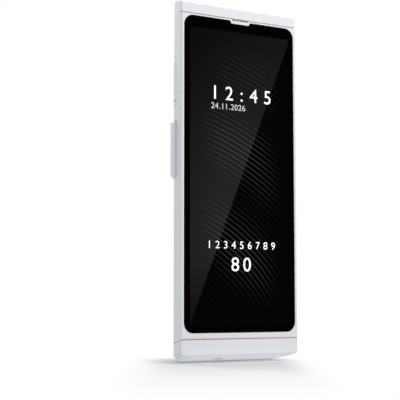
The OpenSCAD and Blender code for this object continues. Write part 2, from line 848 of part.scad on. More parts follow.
// Runs up behind the panel and turns in through the mid plate's window
module display_flex() {
    plug_y = board_y - display_plug_t - flex_t;
    color(flex_amber) between_x(-display_flex_w / 2, display_flex_w / 2)
        polygon([[panel_back_y, flex_z0], [panel_back_y + flex_t, flex_z0],
                 [panel_back_y + flex_t, connector_z0 - flex_bend], [plug_y + flex_t, connector_z0 - flex_lead],
                 [plug_y + flex_t, connector_z0 + connector_h], [plug_y, connector_z0 + connector_h],
                 [plug_y, connector_z0 - flex_lead], [panel_back_y, connector_z0 - flex_bend]]);
}

module earpiece_mesh() {
    color(dark) block(mesh_margin - receiver_w / 2, receiver_w / 2 - mesh_margin, mesh_y, mesh_y + mesh_t,
                      panel_z1 + panel_gap, crease_z - crease_gap);
}

module earpiece_receiver() {
    color(metal) block(-receiver_w / 2, receiver_w / 2, receiver_y0, plate_back_y, receiver_z0, receiver_z1);
}

// ---------- mid plate ----------

module mid_plate() {
    plate_z0 = lower_plane(floor_h, plate_y) + 3 * seat_gap;
    flex_half = display_flex_w / 2 + seat_gap;
    receiver_half = receiver_w / 2 + 3 * seat_gap;
    color(metal) difference() {
        between_y(plate_y, plate_back_y)
            polygon(plate_outline(inner_x - 1.5 * seat_gap, plate_z0, down(6), upper_corner_r - wall + fine_r));
        // room for the earpiece, for the display flex and for its plug
        block(-receiver_half, receiver_half, plate_y - over, plate_back_y + over,
              panel_z1 + panel_gap, body_h / 2);
        block(-flex_half, flex_half, plate_y - over, plate_y + flex_recess, flex_z0 - seat_gap, connector_z0);
        block(-flex_half, flex_half, plate_y - over, plate_back_y + over,
              connector_z0 - flex_bend - 2 * seat_gap, connector_z0 + connector_h + seat_gap);
        for (p = plate_bosses) {
            pin_y(p.x, p.y, plate_y - over, plate_back_y + over, screw_r + screw_pass);
            pin_y(p.x, p.y, plate_y - over, plate_y + head_h + bore_slack, head_r + seat_gap);
        }
        for (p = board_bosses) pin_y(p.x, p.y, plate_y - over, plate_back_y + over, head_r + 2 * seat_gap);
    }
}

// Pan-headed screw along Y with the underside of its head at depth y
module screw_y(x, z, y) {
    difference() {
        union() {
            pin_y(x, z, y - head_h, y, head_r);
            pin_y(x, z, y - head_h / 2, y + plate_screw_l - plate_t, screw_r);
        }
        for (turn = [0, 90])
            translate([x, y - head_h, z]) rotate([0, turn, 0])
                cube([2 * screw_r, head_h, cross_w], center = true);
    }
}

module plate_screws() {
    color(metal) for (p = plate_bosses) screw_y(p.x, p.y, plate_y + head_h + bore_slack);
}

// ---------- board ----------

module main_board() {
    color(board_green) difference() {
        between_y(board_y, board_back_y) polygon(plate_outline(board_half, board_z0, board_z1, board_r));
        for (p = board_bosses) pin_y(p.x, p.y, board_y - over, board_back_y + over, screw_r + screw_pass);
    }
}

module board_screws() {
    color(metal) for (p = board_bosses) screw_y(p.x, p.y, board_y);
}

module board_connectors() {
    color(dark) {
        block(-connector_w / 2, connector_w / 2, board_y - display_plug_t, board_y,
              connector_z0, connector_z0 + connector_h);
        block(-battery_plug_w / 2, battery_plug_w / 2, board_back_y, board_back_y + plug_t,
              battery_plug_z0, battery_plug_z0 + plug_h);
        block(island_x - camera_plug_w / 2, island_x + camera_plug_w / 2, board_back_y, board_back_y + plug_t,
              camera_plug_z0, camera_plug_z0 + plug_h);
    }
}

// Pressed can with a rounded outline and a raised border, open to the board
module shield_can(x0, x1, z0, z1) {
    top_y = board_back_y + can_t;
    difference() {
        between_y(board_back_y, top_y)
            translate([(x0 + x1) / 2, 0]) polygon(plate_outline((x1 - x0) / 2, z0, z1, can_r));
        block(x0 + can_sheet, x1 - can_sheet, board_back_y - over, top_y - can_sheet,
              z0 + can_sheet, z1 - can_sheet);
        block(x0 + can_border, x1 - can_border, top_y - can_step, top_y + over,
              z0 + can_border, z1 - can_border);
    }
}

module processor_shield() {
    color(metal) shield_can(processor_x1 - processor_can.x, processor_x1,
                            processor_z0, processor_z0 + processor_can.y);
}

module radio_shield() {
    color(metal) shield_can(radio_x0, board_half - radio_edge,
                            radio_z0, radio_z0 + radio_h);
}

module thermal_pad() {
    color([0.45, 0.5, 0.6]) block(-pad_half, pad_half, plate_back_y, board_y, pad_z0, pad_z1);
}

// ---------- battery ----------

module battery_cell() {
    color([0.62, 0.63, 0.65]) translate([0, 0, battery_z0]) linear_extrude(height = battery_z1 - battery_z0)
        polygon(rounded([[-battery_half, battery_y0, cell_r], [battery_half, battery_y0, cell_r],
                         [battery_half, battery_y1, cell_r], [-battery_half, battery_y1, cell_r]]));
}

module battery_tape() {
    color(dark) for (side = [-1, 1]) on_side(side)
        block(cell_tape_x - cell_tape.x / 2, cell_tape_x + cell_tape.x / 2, battery_y1, inner_back_y,
              battery_z0 + cell_tape.y, battery_z1 - cell_tape.y);
}

// From the top of the cell over the rib to its plug on the board
module battery_flex() {
    plug_y = board_back_y + plug_t;
    cell_y = battery_y0 + battery_flex_y;
    plug_z = battery_plug_z0 + plug_h - 2 * seat_gap;
    color(flex_amber) between_x(-battery_flex_w / 2, battery_flex_w / 2)
        polygon([[cell_y + flex_t, battery_z1], [plug_y + flex_t, battery_z1 + battery_flex_rise],
                 [plug_y + flex_t, plug_z], [plug_y, plug_z],
                 [plug_y, battery_z1 + battery_flex_rise - seat_gap], [cell_y - flex_t, battery_z1]]);
}

// ---------- camera ----------

module camera_window() {
    color(glass_black) pin_y(island_x, lens_z, window_y0, window_y0 + window_t, window_d / 2);
}

module camera_module() {
    color(dark) difference() {
        union() {
            between_y(board_back_y, camera_shoulder_y) translate([island_x, 0])
                polygon(plate_outline(camera_w / 2, lens_z - camera_w / 2, lens_z + camera_w / 2, camera_r));
            pin_y(island_x, lens_z, camera_shoulder_y - over, barrel_y, barrel_d / 2);
        }
        pin_y(island_x, lens_z, barrel_y - camera_lens_t - camera_lens_sink, barrel_y + over,
              camera_lens_d / 2 + bore_slack);
    }
}

module camera_lens() {
    color([0.2, 0.35, 0.35]) pin_y(island_x, lens_z, barrel_y - camera_lens_t - camera_lens_sink,
                                   barrel_y - camera_lens_sink, camera_lens_d / 2);
}

// From the camera down past the flash, then in to the plug on the board
module camera_flex() {
    plug_y = board_back_y + plug_t;
    turn_z = flash_z - camera_flex_turn;
    color(flex_amber) between_x(island_x - camera_flex_w / 2, island_x + camera_flex_w / 2)
        polygon([[flash_board_y, lens_z - camera_w / 2], [flash_board_y, turn_z],
                 [plug_y + flex_t, turn_z - 4 * flex_t], [plug_y + flex_t, camera_plug_z0],
                 [plug_y, camera_plug_z0], [plug_y, turn_z - 3 * flex_t],
                 [flash_board_y - flex_t, turn_z + flex_t], [flash_board_y - flex_t, lens_z - camera_w / 2]]);
}

module flash_led() {
    color([0.9, 0.85, 0.5]) translate([island_x - led.x / 2, flash_board_y, flash_z - led.z / 2]) cube(led);
}

module flash_window() {
    color([0.85, 0.85, 0.8]) {
        pin_y(island_x, flash_z, window_y0, window_y0 + window_t, flash_d / 2);
        pin_y(island_x, flash_z, inner_back_y - flash_foot, window_y0 + window_sink,
              flash_d / 2 - window_ledge - seat_gap);
    }
}

// ---------- sound ----------

module loudspeaker() {
    color(dark) intersection() {
        upper_end() beyond(wall + 3 * mesh_t);
        between_y(board_back_y, inner_back_y - speaker_back_gap) translate([speaker_x, 0])
            polygon(plate_outline((speaker_x1 - speaker_x0) / 2, speaker_z0, body_h / 2, speaker_r));
    }
}

module speaker_mesh() {
    w = speaker_x1 - speaker_x0 - 2 * speaker_mesh_margin;
    color(dark) upper_end() translate([speaker_x, speaker_hole_off - body_d / 2, wall + mesh_t])
        cube([w, speaker_mesh_h, 2 * mesh_t], center = true);
}

module microphones() {
    side_x = mic_edge - board_half;
    color(metal) {
        block(mic_top_x - mic.x / 2, mic_top_x + mic.x / 2, board_back_y, board_back_y + mic.y,
              mic_z0, mic_z0 + mic.z);
        block(side_x, side_x + mic.x, board_back_y, board_back_y + mic.y,
              mic_side_z - mic.z / 2, mic_side_z + mic.z / 2);
    }
}

// Soft tube of length l with the sound hole through it
module boot(l) {
    difference() {
        cylinder(r = boot_r, h = l, $fn = small_fn);
        translate([0, 0, -over]) cylinder(r = mic_hole_r, h = l + 2 * over, $fn = small_fn);
    }
}

// They lead from the walls' sound holes to the microphones
module microphone_boots() {
    color(dark) {
        intersection() {
            upper_end() beyond(wall);
            translate([mic_top_x, mic_y, mic_z0 + mic.z]) boot(2 * board_down);
        }
        intersection() {
            translate([-inner_x, mic_y, mic_side_z]) rotate([0, 90, 0]) boot(inner_x - board_half + mic_edge);
            translate([0, 0, -body_h]) linear_extrude(height = span) polygon(rounded(section(wall)));
        }
    }
}

module vibration_motor() {
    color(metal) pin_y(motor_x, motor_z, inner_back_y - glue_t - motor_t, inner_back_y - glue_t, motor_r);
}

module motor_tape() {
    color(dark) pin_y(motor_x, motor_z, inner_back_y - glue_t, inner_back_y, motor_r - 3 * seat_gap);
}

// ---------- ports ----------

module usb_port_shell() {
    color(metal) translate([0, port_y, port_top_z - port_len]) difference() {
        linear_extrude(height = port_len) port_outline(0);
        translate([0, 0, port_wall]) linear_extrude(height = port_len) port_outline(-port_wall);
    }
}

module usb_port_tongue() {
    color(dark) translate([0, port_y, port_top_z - port_len + port_wall]) {
        linear_extrude(height = port_base) port_outline(-port_wall - bore_slack);
        translate([-tongue.x / 2, -tongue.y / 2, 0]) cube([tongue.x, tongue.y, tongue.z + port_base]);
    }
}

module sim_tray() {
    face_x = -body_w / 2;
    x0 = face_x + tray_face_t;
    x1 = face_x + tray_len;
    card_x1 = x1 - tray_tip;
    card_x0 = card_x1 - card.x;
    half = card.z / 2;
    color(white) difference() {
        union() {
            bar_x(face_x, x0, tray_mid_y, tray_z, tray_face_w, tray_face_len);
            block(x0 - tray_face_t / 2, x1, tray_y0, tray_y0 + tray_t,
                  tray_body_z - tray_w / 2, tray_body_z + tray_w / 2);
        }
        // seat of the card, with a window that leaves a lip under its edges
        block(card_x0 - seat_gap, card_x1 + seat_gap, tray_y0 + tray_t - card.y, tray_y0 + tray_t + over,
              tray_body_z - half - seat_gap, tray_body_z + half + seat_gap);
        block(card_x0 + tray_lip, card_x1 - tray_lip, tray_y0 - over, tray_y0 + tray_t,
              tray_body_z - half + tray_lip, tray_body_z + half - tray_lip);
        translate([face_x - over, tray_mid_y, tray_z - eject_offset]) rotate([0, 90, 0])
            cylinder(d = eject_d, h = tray_face_t + 2 * over, $fn = small_fn);
    }
}

module sim_card() {
    x1 = tray_len - body_w / 2 - tray_tip;
    x0 = x1 - card.x;
    z0 = tray_body_z - card.z / 2;
    z1 = tray_body_z + card.z / 2;
    color([0.8, 0.7, 0.35]) between_y(tray_y0 + tray_t - card.y, tray_y0 + tray_t)
        polygon([[x0, z0], [x1, z0], [x1, z1 - card_cut], [x1 - card_cut, z1], [x0, z1]]);
}

// Folded cage on the board, open at the side wall
module sim_reader() {
    inner_end = body_w / 2 - tray_len - tray_slack;
    z0 = tray_body_z - tray_w / 2 - tray_slack;
    z1 = tray_body_z + tray_w / 2 + tray_slack;
    color(metal) difference() {
        block(-reader_in, reader_wall - inner_end, board_back_y, tray_y0 + tray_t + tray_slack + reader_skin,
              z0 - reader_wall, z1 + reader_wall);
        block(-reader_in - over, -inner_end, tray_y0 - tray_slack, tray_y0 + tray_t + tray_slack, z0, z1);
        for (i = [0:1])
            translate([reader_window_x + reader_window_pitch * i - reader_in, tray_y0 + tray_t,
                       tray_body_z - reader_window.y / 2])
                cube([reader_window.x, 2 * reader_wall + over, reader_window.y]);
    }
}

// ---------- keys ----------

// Key of length l that stands out of the wall by proud, its outer edge sloping in at both ends.
// It is drawn on the right side; gap and lip set its flange, and nubs are [offset, tip] pairs.
module key_cap(z, l, proud, gap, lip, nubs) {
    wall_x = body_w / 2;
    outer = wall_x + proud;
    flange_x0 = inner_x - gap - lip;
    half = l / 2;
    tip = half - key_slope;
    intersection() {
        bar_x(flange_x0, outer, key_y, z, key_w, l);
        union() {
            block(flange_x0, wall_x, key_y - key_w, key_y + key_w, z - l, z + l);
            between_y(key_y - key_w, key_y + key_w)
                polygon(rounded([[wall_x - over, z - half, 0], [wall_x, z - half, 0],
                                 [outer, z - tip, key_edge_r], [outer, z + tip, key_edge_r],
                                 [wall_x, z + half, 0], [wall_x - over, z + half, 0]]));
        }
    }
    block(flange_x0, inner_x - gap, key_y - key_w / 2 - flange_reach + 2 * key_gap, key_y + key_w / 2,
          z - half - flange_reach, z + half + flange_reach);
    for (nub = nubs)
        translate([nub[1], key_y, z + nub[0]]) rotate([0, 90, 0])
            cylinder(r = nub_r, h = flange_x0 - nub[1] + lip / 2, $fn = small_fn);
}

module power_key() {
    color(white) key_cap(power_z, power_len, power_proud, seat_gap, flange_t, [[0, inner_x - nub_back]]);
}

module translate_key_upper() {
    color(white) key_cap(talk_upper_z, talk_len, key_proud, seat_gap, flange_t, [[0, inner_x - nub_back]]);
}

module translate_key_lower() {
    color(white) key_cap(talk_lower_z, talk_len, key_proud, seat_gap, flange_t, [[0, inner_x - nub_back]]);
}

module volume_rocker() {
    gap = rocker_swing + seat_gap;
    lip = flange_t - seat_gap;
    nub_x = inner_x - switch_tip + rocker_press * sin(rocker_tilt) + tip_gap;
    color(white) mirror([1, 0, 0]) {
        key_cap(rocker_z, rocker_len, key_proud, gap, lip, [[-rocker_press, nub_x], [rocker_press, nub_x]]);
        translate([fulcrum_x, key_y + fulcrum_w / 2, rocker_z]) rotate([90, 0, 0])
            cylinder(r = fulcrum_r, h = fulcrum_w, $fn = small_fn);
        block(fulcrum_x, inner_x - gap - lip / 2, key_y - fulcrum_w / 2, key_y + fulcrum_w / 2,
              rocker_z - fulcrum_r, rocker_z + fulcrum_r);
    }
}

module key_bracket(levels) {
    block(inner_x - bracket_back, inner_x - bracket_front, key_y - bracket_half, key_y + bracket_half,
          min(levels) - rib_t / 2, max(levels) + rib_t / 2);
}

module right_key_bracket() { color(metal) key_bracket(right_ribs); }
module left_key_bracket() { color(metal) mirror([1, 0, 0]) key_bracket(left_ribs); }

// Strip on the outer face of its bracket, between the outermost ribs
module key_flex(levels) {
    inset = rib_t / 2 + seat_gap;
    for (i = [0:len(levels) - 2])
        block(inner_x - bracket_front, inner_x - flex_back, key_y - key_flex_w / 2, key_y + key_flex_w / 2,
              levels[i + 1] + inset, levels[i] - inset);
}

module right_key_flex() { color(flex_amber) key_flex(right_ribs); }
module left_key_flex() { color(flex_amber) mirror([1, 0, 0]) key_flex(left_ribs); }

module key_switch(z) {
    block(inner_x - flex_back, inner_x - flex_back + switch_t, key_y - switch_w / 2, key_y + switch_w / 2,
          z - switch_l / 2, z + switch_l / 2);
    translate([inner_x - flex_back + switch_t / 2, key_y, z]) rotate([0, 90, 0])
        cylinder(r = actuator_r, h = switch_t / 2 + actuator_t, $fn = small_fn);
}

module key_switches() {
    color(metal) {
        for (k = right_keys) key_switch(k[0]);
        mirror([1, 0, 0]) for (end = [-1, 1]) key_switch(rocker_z + end * rocker_press);
    }
}

// ---------- antennas ----------

module upper_antenna() {
    color(flex_amber) block(upper_antenna_x[0], upper_antenna_x[1], inner_back_y - flex_t, inner_back_y,
                            upper_antenna_z[0], upper_antenna_z[1]);
}

module lower_antenna() {
    z0 = lower_plane(floor_h, inner_back_y - flex_t) + 2 * seat_gap;
    color(flex_amber) block(-lower_antenna_half, lower_antenna_half, inner_back_y - flex_t, inner_back_y,
                            z0, battery_z0 - lower_antenna_gap);
}

// ---------- lower end ----------

module accent_band() {
    color(copper) difference() {
        intersection() {
            body_form(band_recess);
            lower_end() difference() {
                beyond(cap_h);
                beyond(seat_h);
            }
        }
        body_form(band_ring);
    }
}

module end_cap() {
    slot_z0 = up(strap_z - strap_h / 2);
    slot_z1 = up(strap_z + strap_h / 2);
    color(white) difference() {
        union() {
            intersection() {
                body_form();
                lower_end() difference() {
                    beyond(0);
                    beyond(cap_h);
                }
            }
            // low land inside the band, on which the housing's floor rests
            intersection() {
                body_form(band_ring + seat_gap);
                lower_end() difference() {
                    beyond(cap_h - over);
                    beyond(seat_h);
                }
            }
        }
        // strap slot: in through the back, out through the slanted end
        translate([-strap_x - strap_w / 2, back_y - strap_bar - strap_h, slot_z0])
            cube([strap_w, strap_bar + strap_h + over, strap_h]);
        translate([-strap_x - strap_w / 2, back_y - strap_bar - strap_h, up(-over)])
            cube([strap_w, strap_h, slot_z1 - up(-over)]);
        // pilot holes of the two screws, and pockets between the walls
        lower_end() {
            for (side = [-1, 1])
                translate([side * cap_screw_span / 2, -body_d / 2, floor_h - cap_screw_l - over])
                    cylinder(r = screw_r + bore_slack, h = cap_screw_l + 2 * over, $fn = round_fn);
            for (p = cap_pockets)
                translate([p[0], cap_front_wall - body_d, cap_wall])
                    cube([p[1] - p[0], body_d - cap_front_wall - cap_back_wall, body_d]);
        }
    }
}

module cap_screws() {
    color(metal) lower_end() for (side = [-1, 1])
        translate([side * cap_screw_span / 2, -body_d / 2, floor_h]) difference() {
            union() {
                cylinder(r = head_r, h = head_h, $fn = round_fn);
                translate([0, 0, 2 * bore_slack - cap_screw_l])
                    cylinder(r = screw_r, h = cap_screw_l, $fn = round_fn);
            }
            for (turn = [0, 90]) translate([0, 0, head_h]) rotate([0, 0, turn])
                cube([2 * screw_r, cross_w, head_h], center = true);
        }
}

rear_housing();
front_frame();
accent_band();
end_cap();
cover_glass();
display_panel();
display_adhesive();
display_flex();
earpiece_mesh();
earpiece_receiver();
mid_plate();
plate_screws();
main_board();
board_screws();
board_connectors();
processor_shield();
radio_shield();
thermal_pad();
battery_cell();
battery_tape();
battery_flex();
camera_window();
camera_module();
camera_lens();
camera_flex();
flash_window();
flash_led();
loudspeaker();
speaker_mesh();
microphones();
microphone_boots();
vibration_motor();
motor_tape();
usb_port_shell();
usb_port_tongue();
sim_tray();
sim_card();
sim_reader();
power_key();
translate_key_upper();
translate_key_lower();
volume_rocker();
right_key_bracket();
left_key_bracket();
right_key_flex();
left_key_flex();
key_switches();
upper_antenna();
lower_antenna();
cap_screws();
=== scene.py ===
"""Dresses the handheld translator: finishes, screen picture, small details, studio and camera.

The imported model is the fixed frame. Every piece rides on one of its bodies, in metres, with X to the right
as seen from the screen, Y to the back and Z up.
"""
import sys
import logging
import math
from dataclasses import dataclass, field
from enum import Enum
from functools import reduce

import bmesh
import bpy
from mathutils import Matrix, Vector


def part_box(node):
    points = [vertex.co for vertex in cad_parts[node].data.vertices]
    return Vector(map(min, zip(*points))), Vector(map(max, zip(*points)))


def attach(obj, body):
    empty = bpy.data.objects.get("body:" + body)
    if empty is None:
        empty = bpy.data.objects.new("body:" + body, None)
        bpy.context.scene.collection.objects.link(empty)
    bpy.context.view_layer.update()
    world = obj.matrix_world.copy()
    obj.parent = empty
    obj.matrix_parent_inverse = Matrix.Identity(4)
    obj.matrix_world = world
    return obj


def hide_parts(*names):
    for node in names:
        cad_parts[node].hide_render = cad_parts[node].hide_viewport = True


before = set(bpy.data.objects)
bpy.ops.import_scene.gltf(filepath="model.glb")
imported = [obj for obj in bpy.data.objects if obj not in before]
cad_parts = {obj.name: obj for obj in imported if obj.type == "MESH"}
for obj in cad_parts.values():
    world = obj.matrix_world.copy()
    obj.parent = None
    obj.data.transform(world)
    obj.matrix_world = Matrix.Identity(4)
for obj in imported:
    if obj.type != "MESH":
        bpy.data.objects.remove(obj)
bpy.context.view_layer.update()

MM = 0.001
Pair = tuple[float, float]
Triple = tuple[float, float, float]
Quad = tuple[float, float, float, float]  # both ends of a range, and what they turn into
Colour = Triple
Socket = bpy.types.NodeSocket
Node = bpy.types.Node
Piece = bpy.types.Object
LOWER_EDGE: Pair = (6.25 * MM, -72.0 * MM)  # y and z of the slanted lower face's back edge
LOWER_LEAN = math.radians(14.0)
DRIFT_GRAIN: Triple = (45.0, 45.0, 30.0)  # grains per metre of the slow drift in every colour
DRIFT_OVER: Pair = (0.35, 0.65)
STREAK_OVER: Pair = (0.38, 0.62)
GLOSS_OVER: Pair = (0.3, 0.7)
GLOSS_SHARE, GLOSS_LIMIT = 0.25, 0.06  # how far the relief moves the roughness
BEVEL_SAMPLES = 6
log = logging.getLogger("translator")


class Tree:
    """A node tree under construction, with short ways to add and join nodes."""

    def __init__(self, tree: bpy.types.NodeTree) -> None:
        """Starts on an empty tree."""
        self.tree = tree
        tree.nodes.clear()

    def add(self, kind: str, feeds: dict[str | int, object] | None = None, **settings: object) -> Node:
        """Adds a node.

        Args:
            kind: Blender's name of the node's type.
            feeds: what is fed to each of its inputs, by name or number.
            settings: properties set on the node.

        Returns:
            The new node.
        """
        node = self.tree.nodes.new(kind)
        for key, value in settings.items():
            setattr(node, key, value)
        for key, value in (feeds or {}).items():
            self.feed(node.inputs[key], value)
        return node

    def feed(self, socket: Socket, value: object) -> None:
        """Joins an output to a socket, or sets the socket to a plain value.

        Args:
            socket: an input.
            value: another node's output, a node for its first output, or the plain value.
        """
        if isinstance(value, Node):
            value = value.outputs[0]
        if isinstance(value, Socket):
            self.tree.links.new(value, socket)
        else:
            socket.default_value = value

    def calc(self, operation: str, *values: object, clamp: bool = False) -> Socket:
        """Adds a math node on outputs or numbers. A clamped result is kept between 0 and 1."""
        return self.add("ShaderNodeMath", dict(enumerate(values)), operation=operation, use_clamp=clamp).outputs[0]

    def ramp(self, value: object, low: object, high: object, to_low: float = 0.0, to_high: float = 1.0,
             smooth: bool = True) -> Socket:
        """Maps a value from low and high to two other values. It is held at both ends, and eased if smooth."""
        feeds = {"Value": value, "From Min": low, "From Max": high, "To Min": to_low, "To Max": to_high}
        return self.add("ShaderNodeMapRange", feeds, interpolation_type="SMOOTHSTEP" if smooth else "LINEAR").outputs[0]

    def own(self) -> Socket:
        """Gives the object's own coordinates."""
        return self.add("ShaderNodeTexCoord").outputs["Object"]

    def split(self, vector: Socket | Node) -> tuple[Socket, Socket, Socket]:
        """Gives a vector's x, y and z."""
        return tuple(self.add("ShaderNodeSeparateXYZ", {"Vector": vector}).outputs)

    def axes(self) -> tuple[Socket, Socket, Socket]:
        """Gives the object's x, y and z in metres."""
        return self.split(self.own())

    def chain(self, operation: str, *values: object) -> Socket:
        """Joins one or more values by one operation, from left to right."""
        return reduce(lambda first, second: self.calc(operation, first, second), values)

    def product(self, *values: object) -> Socket:
        """Multiplies values."""
        return self.chain("MULTIPLY", *values)

    def away(self, centre: Pair) -> Socket:
        """Gives the distance in metres from a line along Y, by the line's x and z."""
        return self.calc("SQRT", self.calc("ADD", *(self.calc("POWER", self.calc("SUBTRACT", value, middle), 2.0)
                                                    for value, middle in zip(self.axes()[::2], centre))))

    def above_lower_end(self) -> Socket:
        """Gives the height above the slanted lower face.

        Returns:
            The height in metres, square to that face.
        """
        _, y, z = self.axes()
        return self.calc("ADD", self.product(self.calc("SUBTRACT", z, LOWER_EDGE[1]), math.cos(LOWER_LEAN)),
                         self.product(self.calc("SUBTRACT", y, LOWER_EDGE[0]), math.sin(LOWER_LEAN)))

    def noise(self, scale: Triple, detail: float = 2.0) -> Socket:
        """Gives a noise value on the object's own coordinates, with its grains per metre on each axis."""
        at = self.add("ShaderNodeMapping", {"Vector": self.own(), "Scale": scale})
        return self.add("ShaderNodeTexNoise", {"Scale": 1.0, "Detail": detail, "Vector": at}).outputs["Fac"]

    def blend(self, factor: object, first: object, second: object) -> Socket:
        """Mixes two colours, from the first at a factor of 0 to the second at 1."""
        first, second = (tone if isinstance(tone, Socket) else (*tone, 1.0) for tone in (first, second))
        return self.add("ShaderNodeMix", {0: factor, 6: first, 7: second}, data_type="RGBA").outputs[2]

    def rays(self, *kinds: str) -> Socket:
        """Gives 1 for rays of the named kinds, such as Camera or Glossy, and 0 for others."""
        path = self.add("ShaderNodeLightPath")
        return self.chain("MAXIMUM", *(path.outputs[f"Is {kind} Ray"] for kind in kinds))

    def mix(self, factor: Socket, first: Node, second: Node) -> Node:
        """Mixes two shaders, from the first at a factor of 0 to the second at 1."""
        return self.add("ShaderNodeMixShader", {0: factor, 1: first, 2: second})


class Grain(Enum):
    """How a surface is worked: the pattern of its fine relief."""

    MOULDED = "moulded"
    BRUSHED = "brushed"
    TURNED = "turned"
    BLASTED = "blasted"
    WOVEN = "woven"
    CREASED = "creased"
    POLISHED = "polished"


STRETCH: dict[Grain, tuple[Triple, float]] = {  # share of the full grain on each axis, and detail
    Grain.MOULDED: ((1.0,) * 3, 2.0), Grain.BRUSHED: ((1.0, 1.0, 0.012), 3.0),
    Grain.TURNED: ((0.02, 1.0, 1.0), 3.0), Grain.BLASTED: ((1.0,) * 3, 4.0),
    Grain.CREASED: ((0.3, 1.0, 0.5), 6.0), Grain.POLISHED: ((0.1,) * 3, 1.0)}


@dataclass(frozen=True)
class Finish:
    """A procedural finish on the object's own coordinates. Its pitch, depth and edge are in millimetres."""

    name: str
    slot: str
    colour: Colour
    roughness: float
    metallic: float = 0.0
    level: float = 0.5
    grain: Grain = Grain.MOULDED
    pitch: float = 0.25
    depth: float = 0.004
    tone: float = 0.02
    edge: float = 0.0

    def relief(self, tree: Tree) -> Socket:
        """Builds the height of the fine relief.

        Args:
            tree: the material's tree.

        Returns:
            A height between 0 and 1.
        """
        fine = 1.0 / (self.pitch * MM)
        if self.grain is Grain.WOVEN:
            x, _, z = tree.axes()
            across, along = (tree.calc("SINE", tree.product(value, fine * math.tau)) for value in (x, z))
            return tree.calc("MULTIPLY_ADD", across, tree.product(along, 0.5), 0.5)
        shares, detail = STRETCH[self.grain]
        return tree.noise(tuple(fine * share for share in shares), detail)

    def tint(self, tree: Tree) -> Socket:
        """Builds the colour, which drifts a little over the surface."""
        return self.darkened(tree, tree.noise(DRIFT_GRAIN, detail=3.0), DRIFT_OVER, self.tone)

    def darkened(self, tree: Tree, pattern: Socket, over: Pair, share: float) -> Socket:
        """Darkens the colour by a share where a pattern rises."""
        darker = tuple(channel * (1.0 - share) for channel in self.colour)
        return tree.blend(tree.ramp(pattern, *over), self.colour, darker)

    def material(self) -> bpy.types.Material:
        """Builds the material.

        Returns:
            The material, ready to be set on a piece.
        """
        made = bpy.data.materials.get(self.name)
        if made:
            return made
        made = bpy.data.materials.new(self.name)
        made.use_nodes = True
        tree = Tree(made.node_tree)
        shader = tree.add("ShaderNodeBsdfPrincipled", {"Metallic": self.metallic, "Specular IOR Level": self.level,
                                                       "Base Color": self.tint(tree), **self.extras(tree)})
        tree.add("ShaderNodeOutputMaterial", {"Surface": shader})
        height = self.relief(tree)
        spread = min(GLOSS_LIMIT, self.roughness * GLOSS_SHARE)
        tree.feed(shader.inputs["Roughness"],
                  tree.ramp(height, *GLOSS_OVER, self.roughness - spread, self.roughness + spread))
        bump = tree.add("ShaderNodeBump", {"Strength": 1.0, "Distance": self.depth * MM, "Height": height})
        if self.edge:
            corner = tree.add("ShaderNodeBevel", {"Radius": self.edge * MM}, samples=BEVEL_SAMPLES)
            tree.feed(bump.inputs["Normal"], corner)
        tree.feed(shader.inputs["Normal"], bump)
        return made

    def extras(self, tree: Tree) -> dict[str, object]:
        """Gives the shader inputs that a special finish has beyond the common ones."""
        return {}


@dataclass(frozen=True)
class ScreenGlass(Finish):
    """Black cover glass with the lit area behind it: a dim picture with a soft painted reflection that splits it into
    two tones.
    """

    lit_x: Pair = (-22.9 * MM, 22.9 * MM)
    lit_z: Pair = (-57.5 * MM, 59.2 * MM)
    border: float = 0.25 * MM
    # slanting edge of the painted reflection: where it lies, how steep and how soft it is
    glare_edge_at: Pair = (0.33 * MM, 0.73 * MM)
    glare_edge_slope: float = 2.50
    glare_edge_soft: float = 0.3 * MM
    # how the painted reflection fades away from its edge and towards its foot and head
    glare_rise: Quad = (-115.0 * MM, 0.0, 0.45, 1.0)
    foot: Quad = (-60.0 * MM, -25.0 * MM, 0.25, 1.0)
    head: Quad = (62.0 * MM, -5.0 * MM, 0.55, 1.25)
    front_over: Pair = (-5.9 * MM, -6.1 * MM)
    dim_level: float = 0.03
    picture_level: float = 0.0125
    picture_tone: Colour = (0.97, 0.98, 1.0)

    def extras(self, tree: Tree) -> dict[str, object]:
        """Lights the picture area."""
        return {"Emission Color": (*self.picture_tone, 1.0), "Emission Strength": self.picture(tree)}

    def picture(self, tree: Tree) -> Socket:
        """Gives the picture's light: a dim even level, with a painted reflection that makes it paler to the left of a
        slanting line and nearly black to its right.

        Args:
            tree: the material's tree.

        Returns:
            The light's strength.
        """
        x, y, z = tree.axes()
        inside = tree.product(self.band(tree, x, self.lit_x), self.band(tree, z, self.lit_z))
        line = tree.calc("SUBTRACT", tree.product(tree.calc("SUBTRACT", x, self.glare_edge_at[0]), self.glare_edge_slope),
                         tree.calc("SUBTRACT", z, self.glare_edge_at[1]))
        # painted reflection on the glass: paler left of the slanting line, added to the dim picture
        glare = tree.product(inside, tree.ramp(line, self.glare_edge_soft, -self.glare_edge_soft), tree.ramp(line, *self.glare_rise),
                            tree.ramp(z, *self.foot), tree.ramp(z, *self.head))
        level = tree.calc("ADD", glare, tree.product(inside, self.dim_level))
        return tree.product(level, self.picture_level, tree.ramp(y, *self.front_over))

    def band(self, tree: Tree, value: Socket, ends: Pair) -> Socket:
        """Gives 1 between two ends and 0 outside, with a soft border."""
        return tree.product(tree.ramp(value, ends[0] - self.border, ends[0] + self.border),
                            tree.ramp(value, ends[1] + self.border, ends[1] - self.border))


@dataclass(frozen=True)
class Glow(Finish):
    """Lit marks on the screen: an even light of one strength."""

    light: Colour = (1.0, 1.0, 1.0)
    strength: float = 1.0

    def extras(self, tree: Tree) -> dict[str, object]:
        """Adds the light."""
        return {"Emission Color": (*self.light, 1.0), "Emission Strength": self.strength}


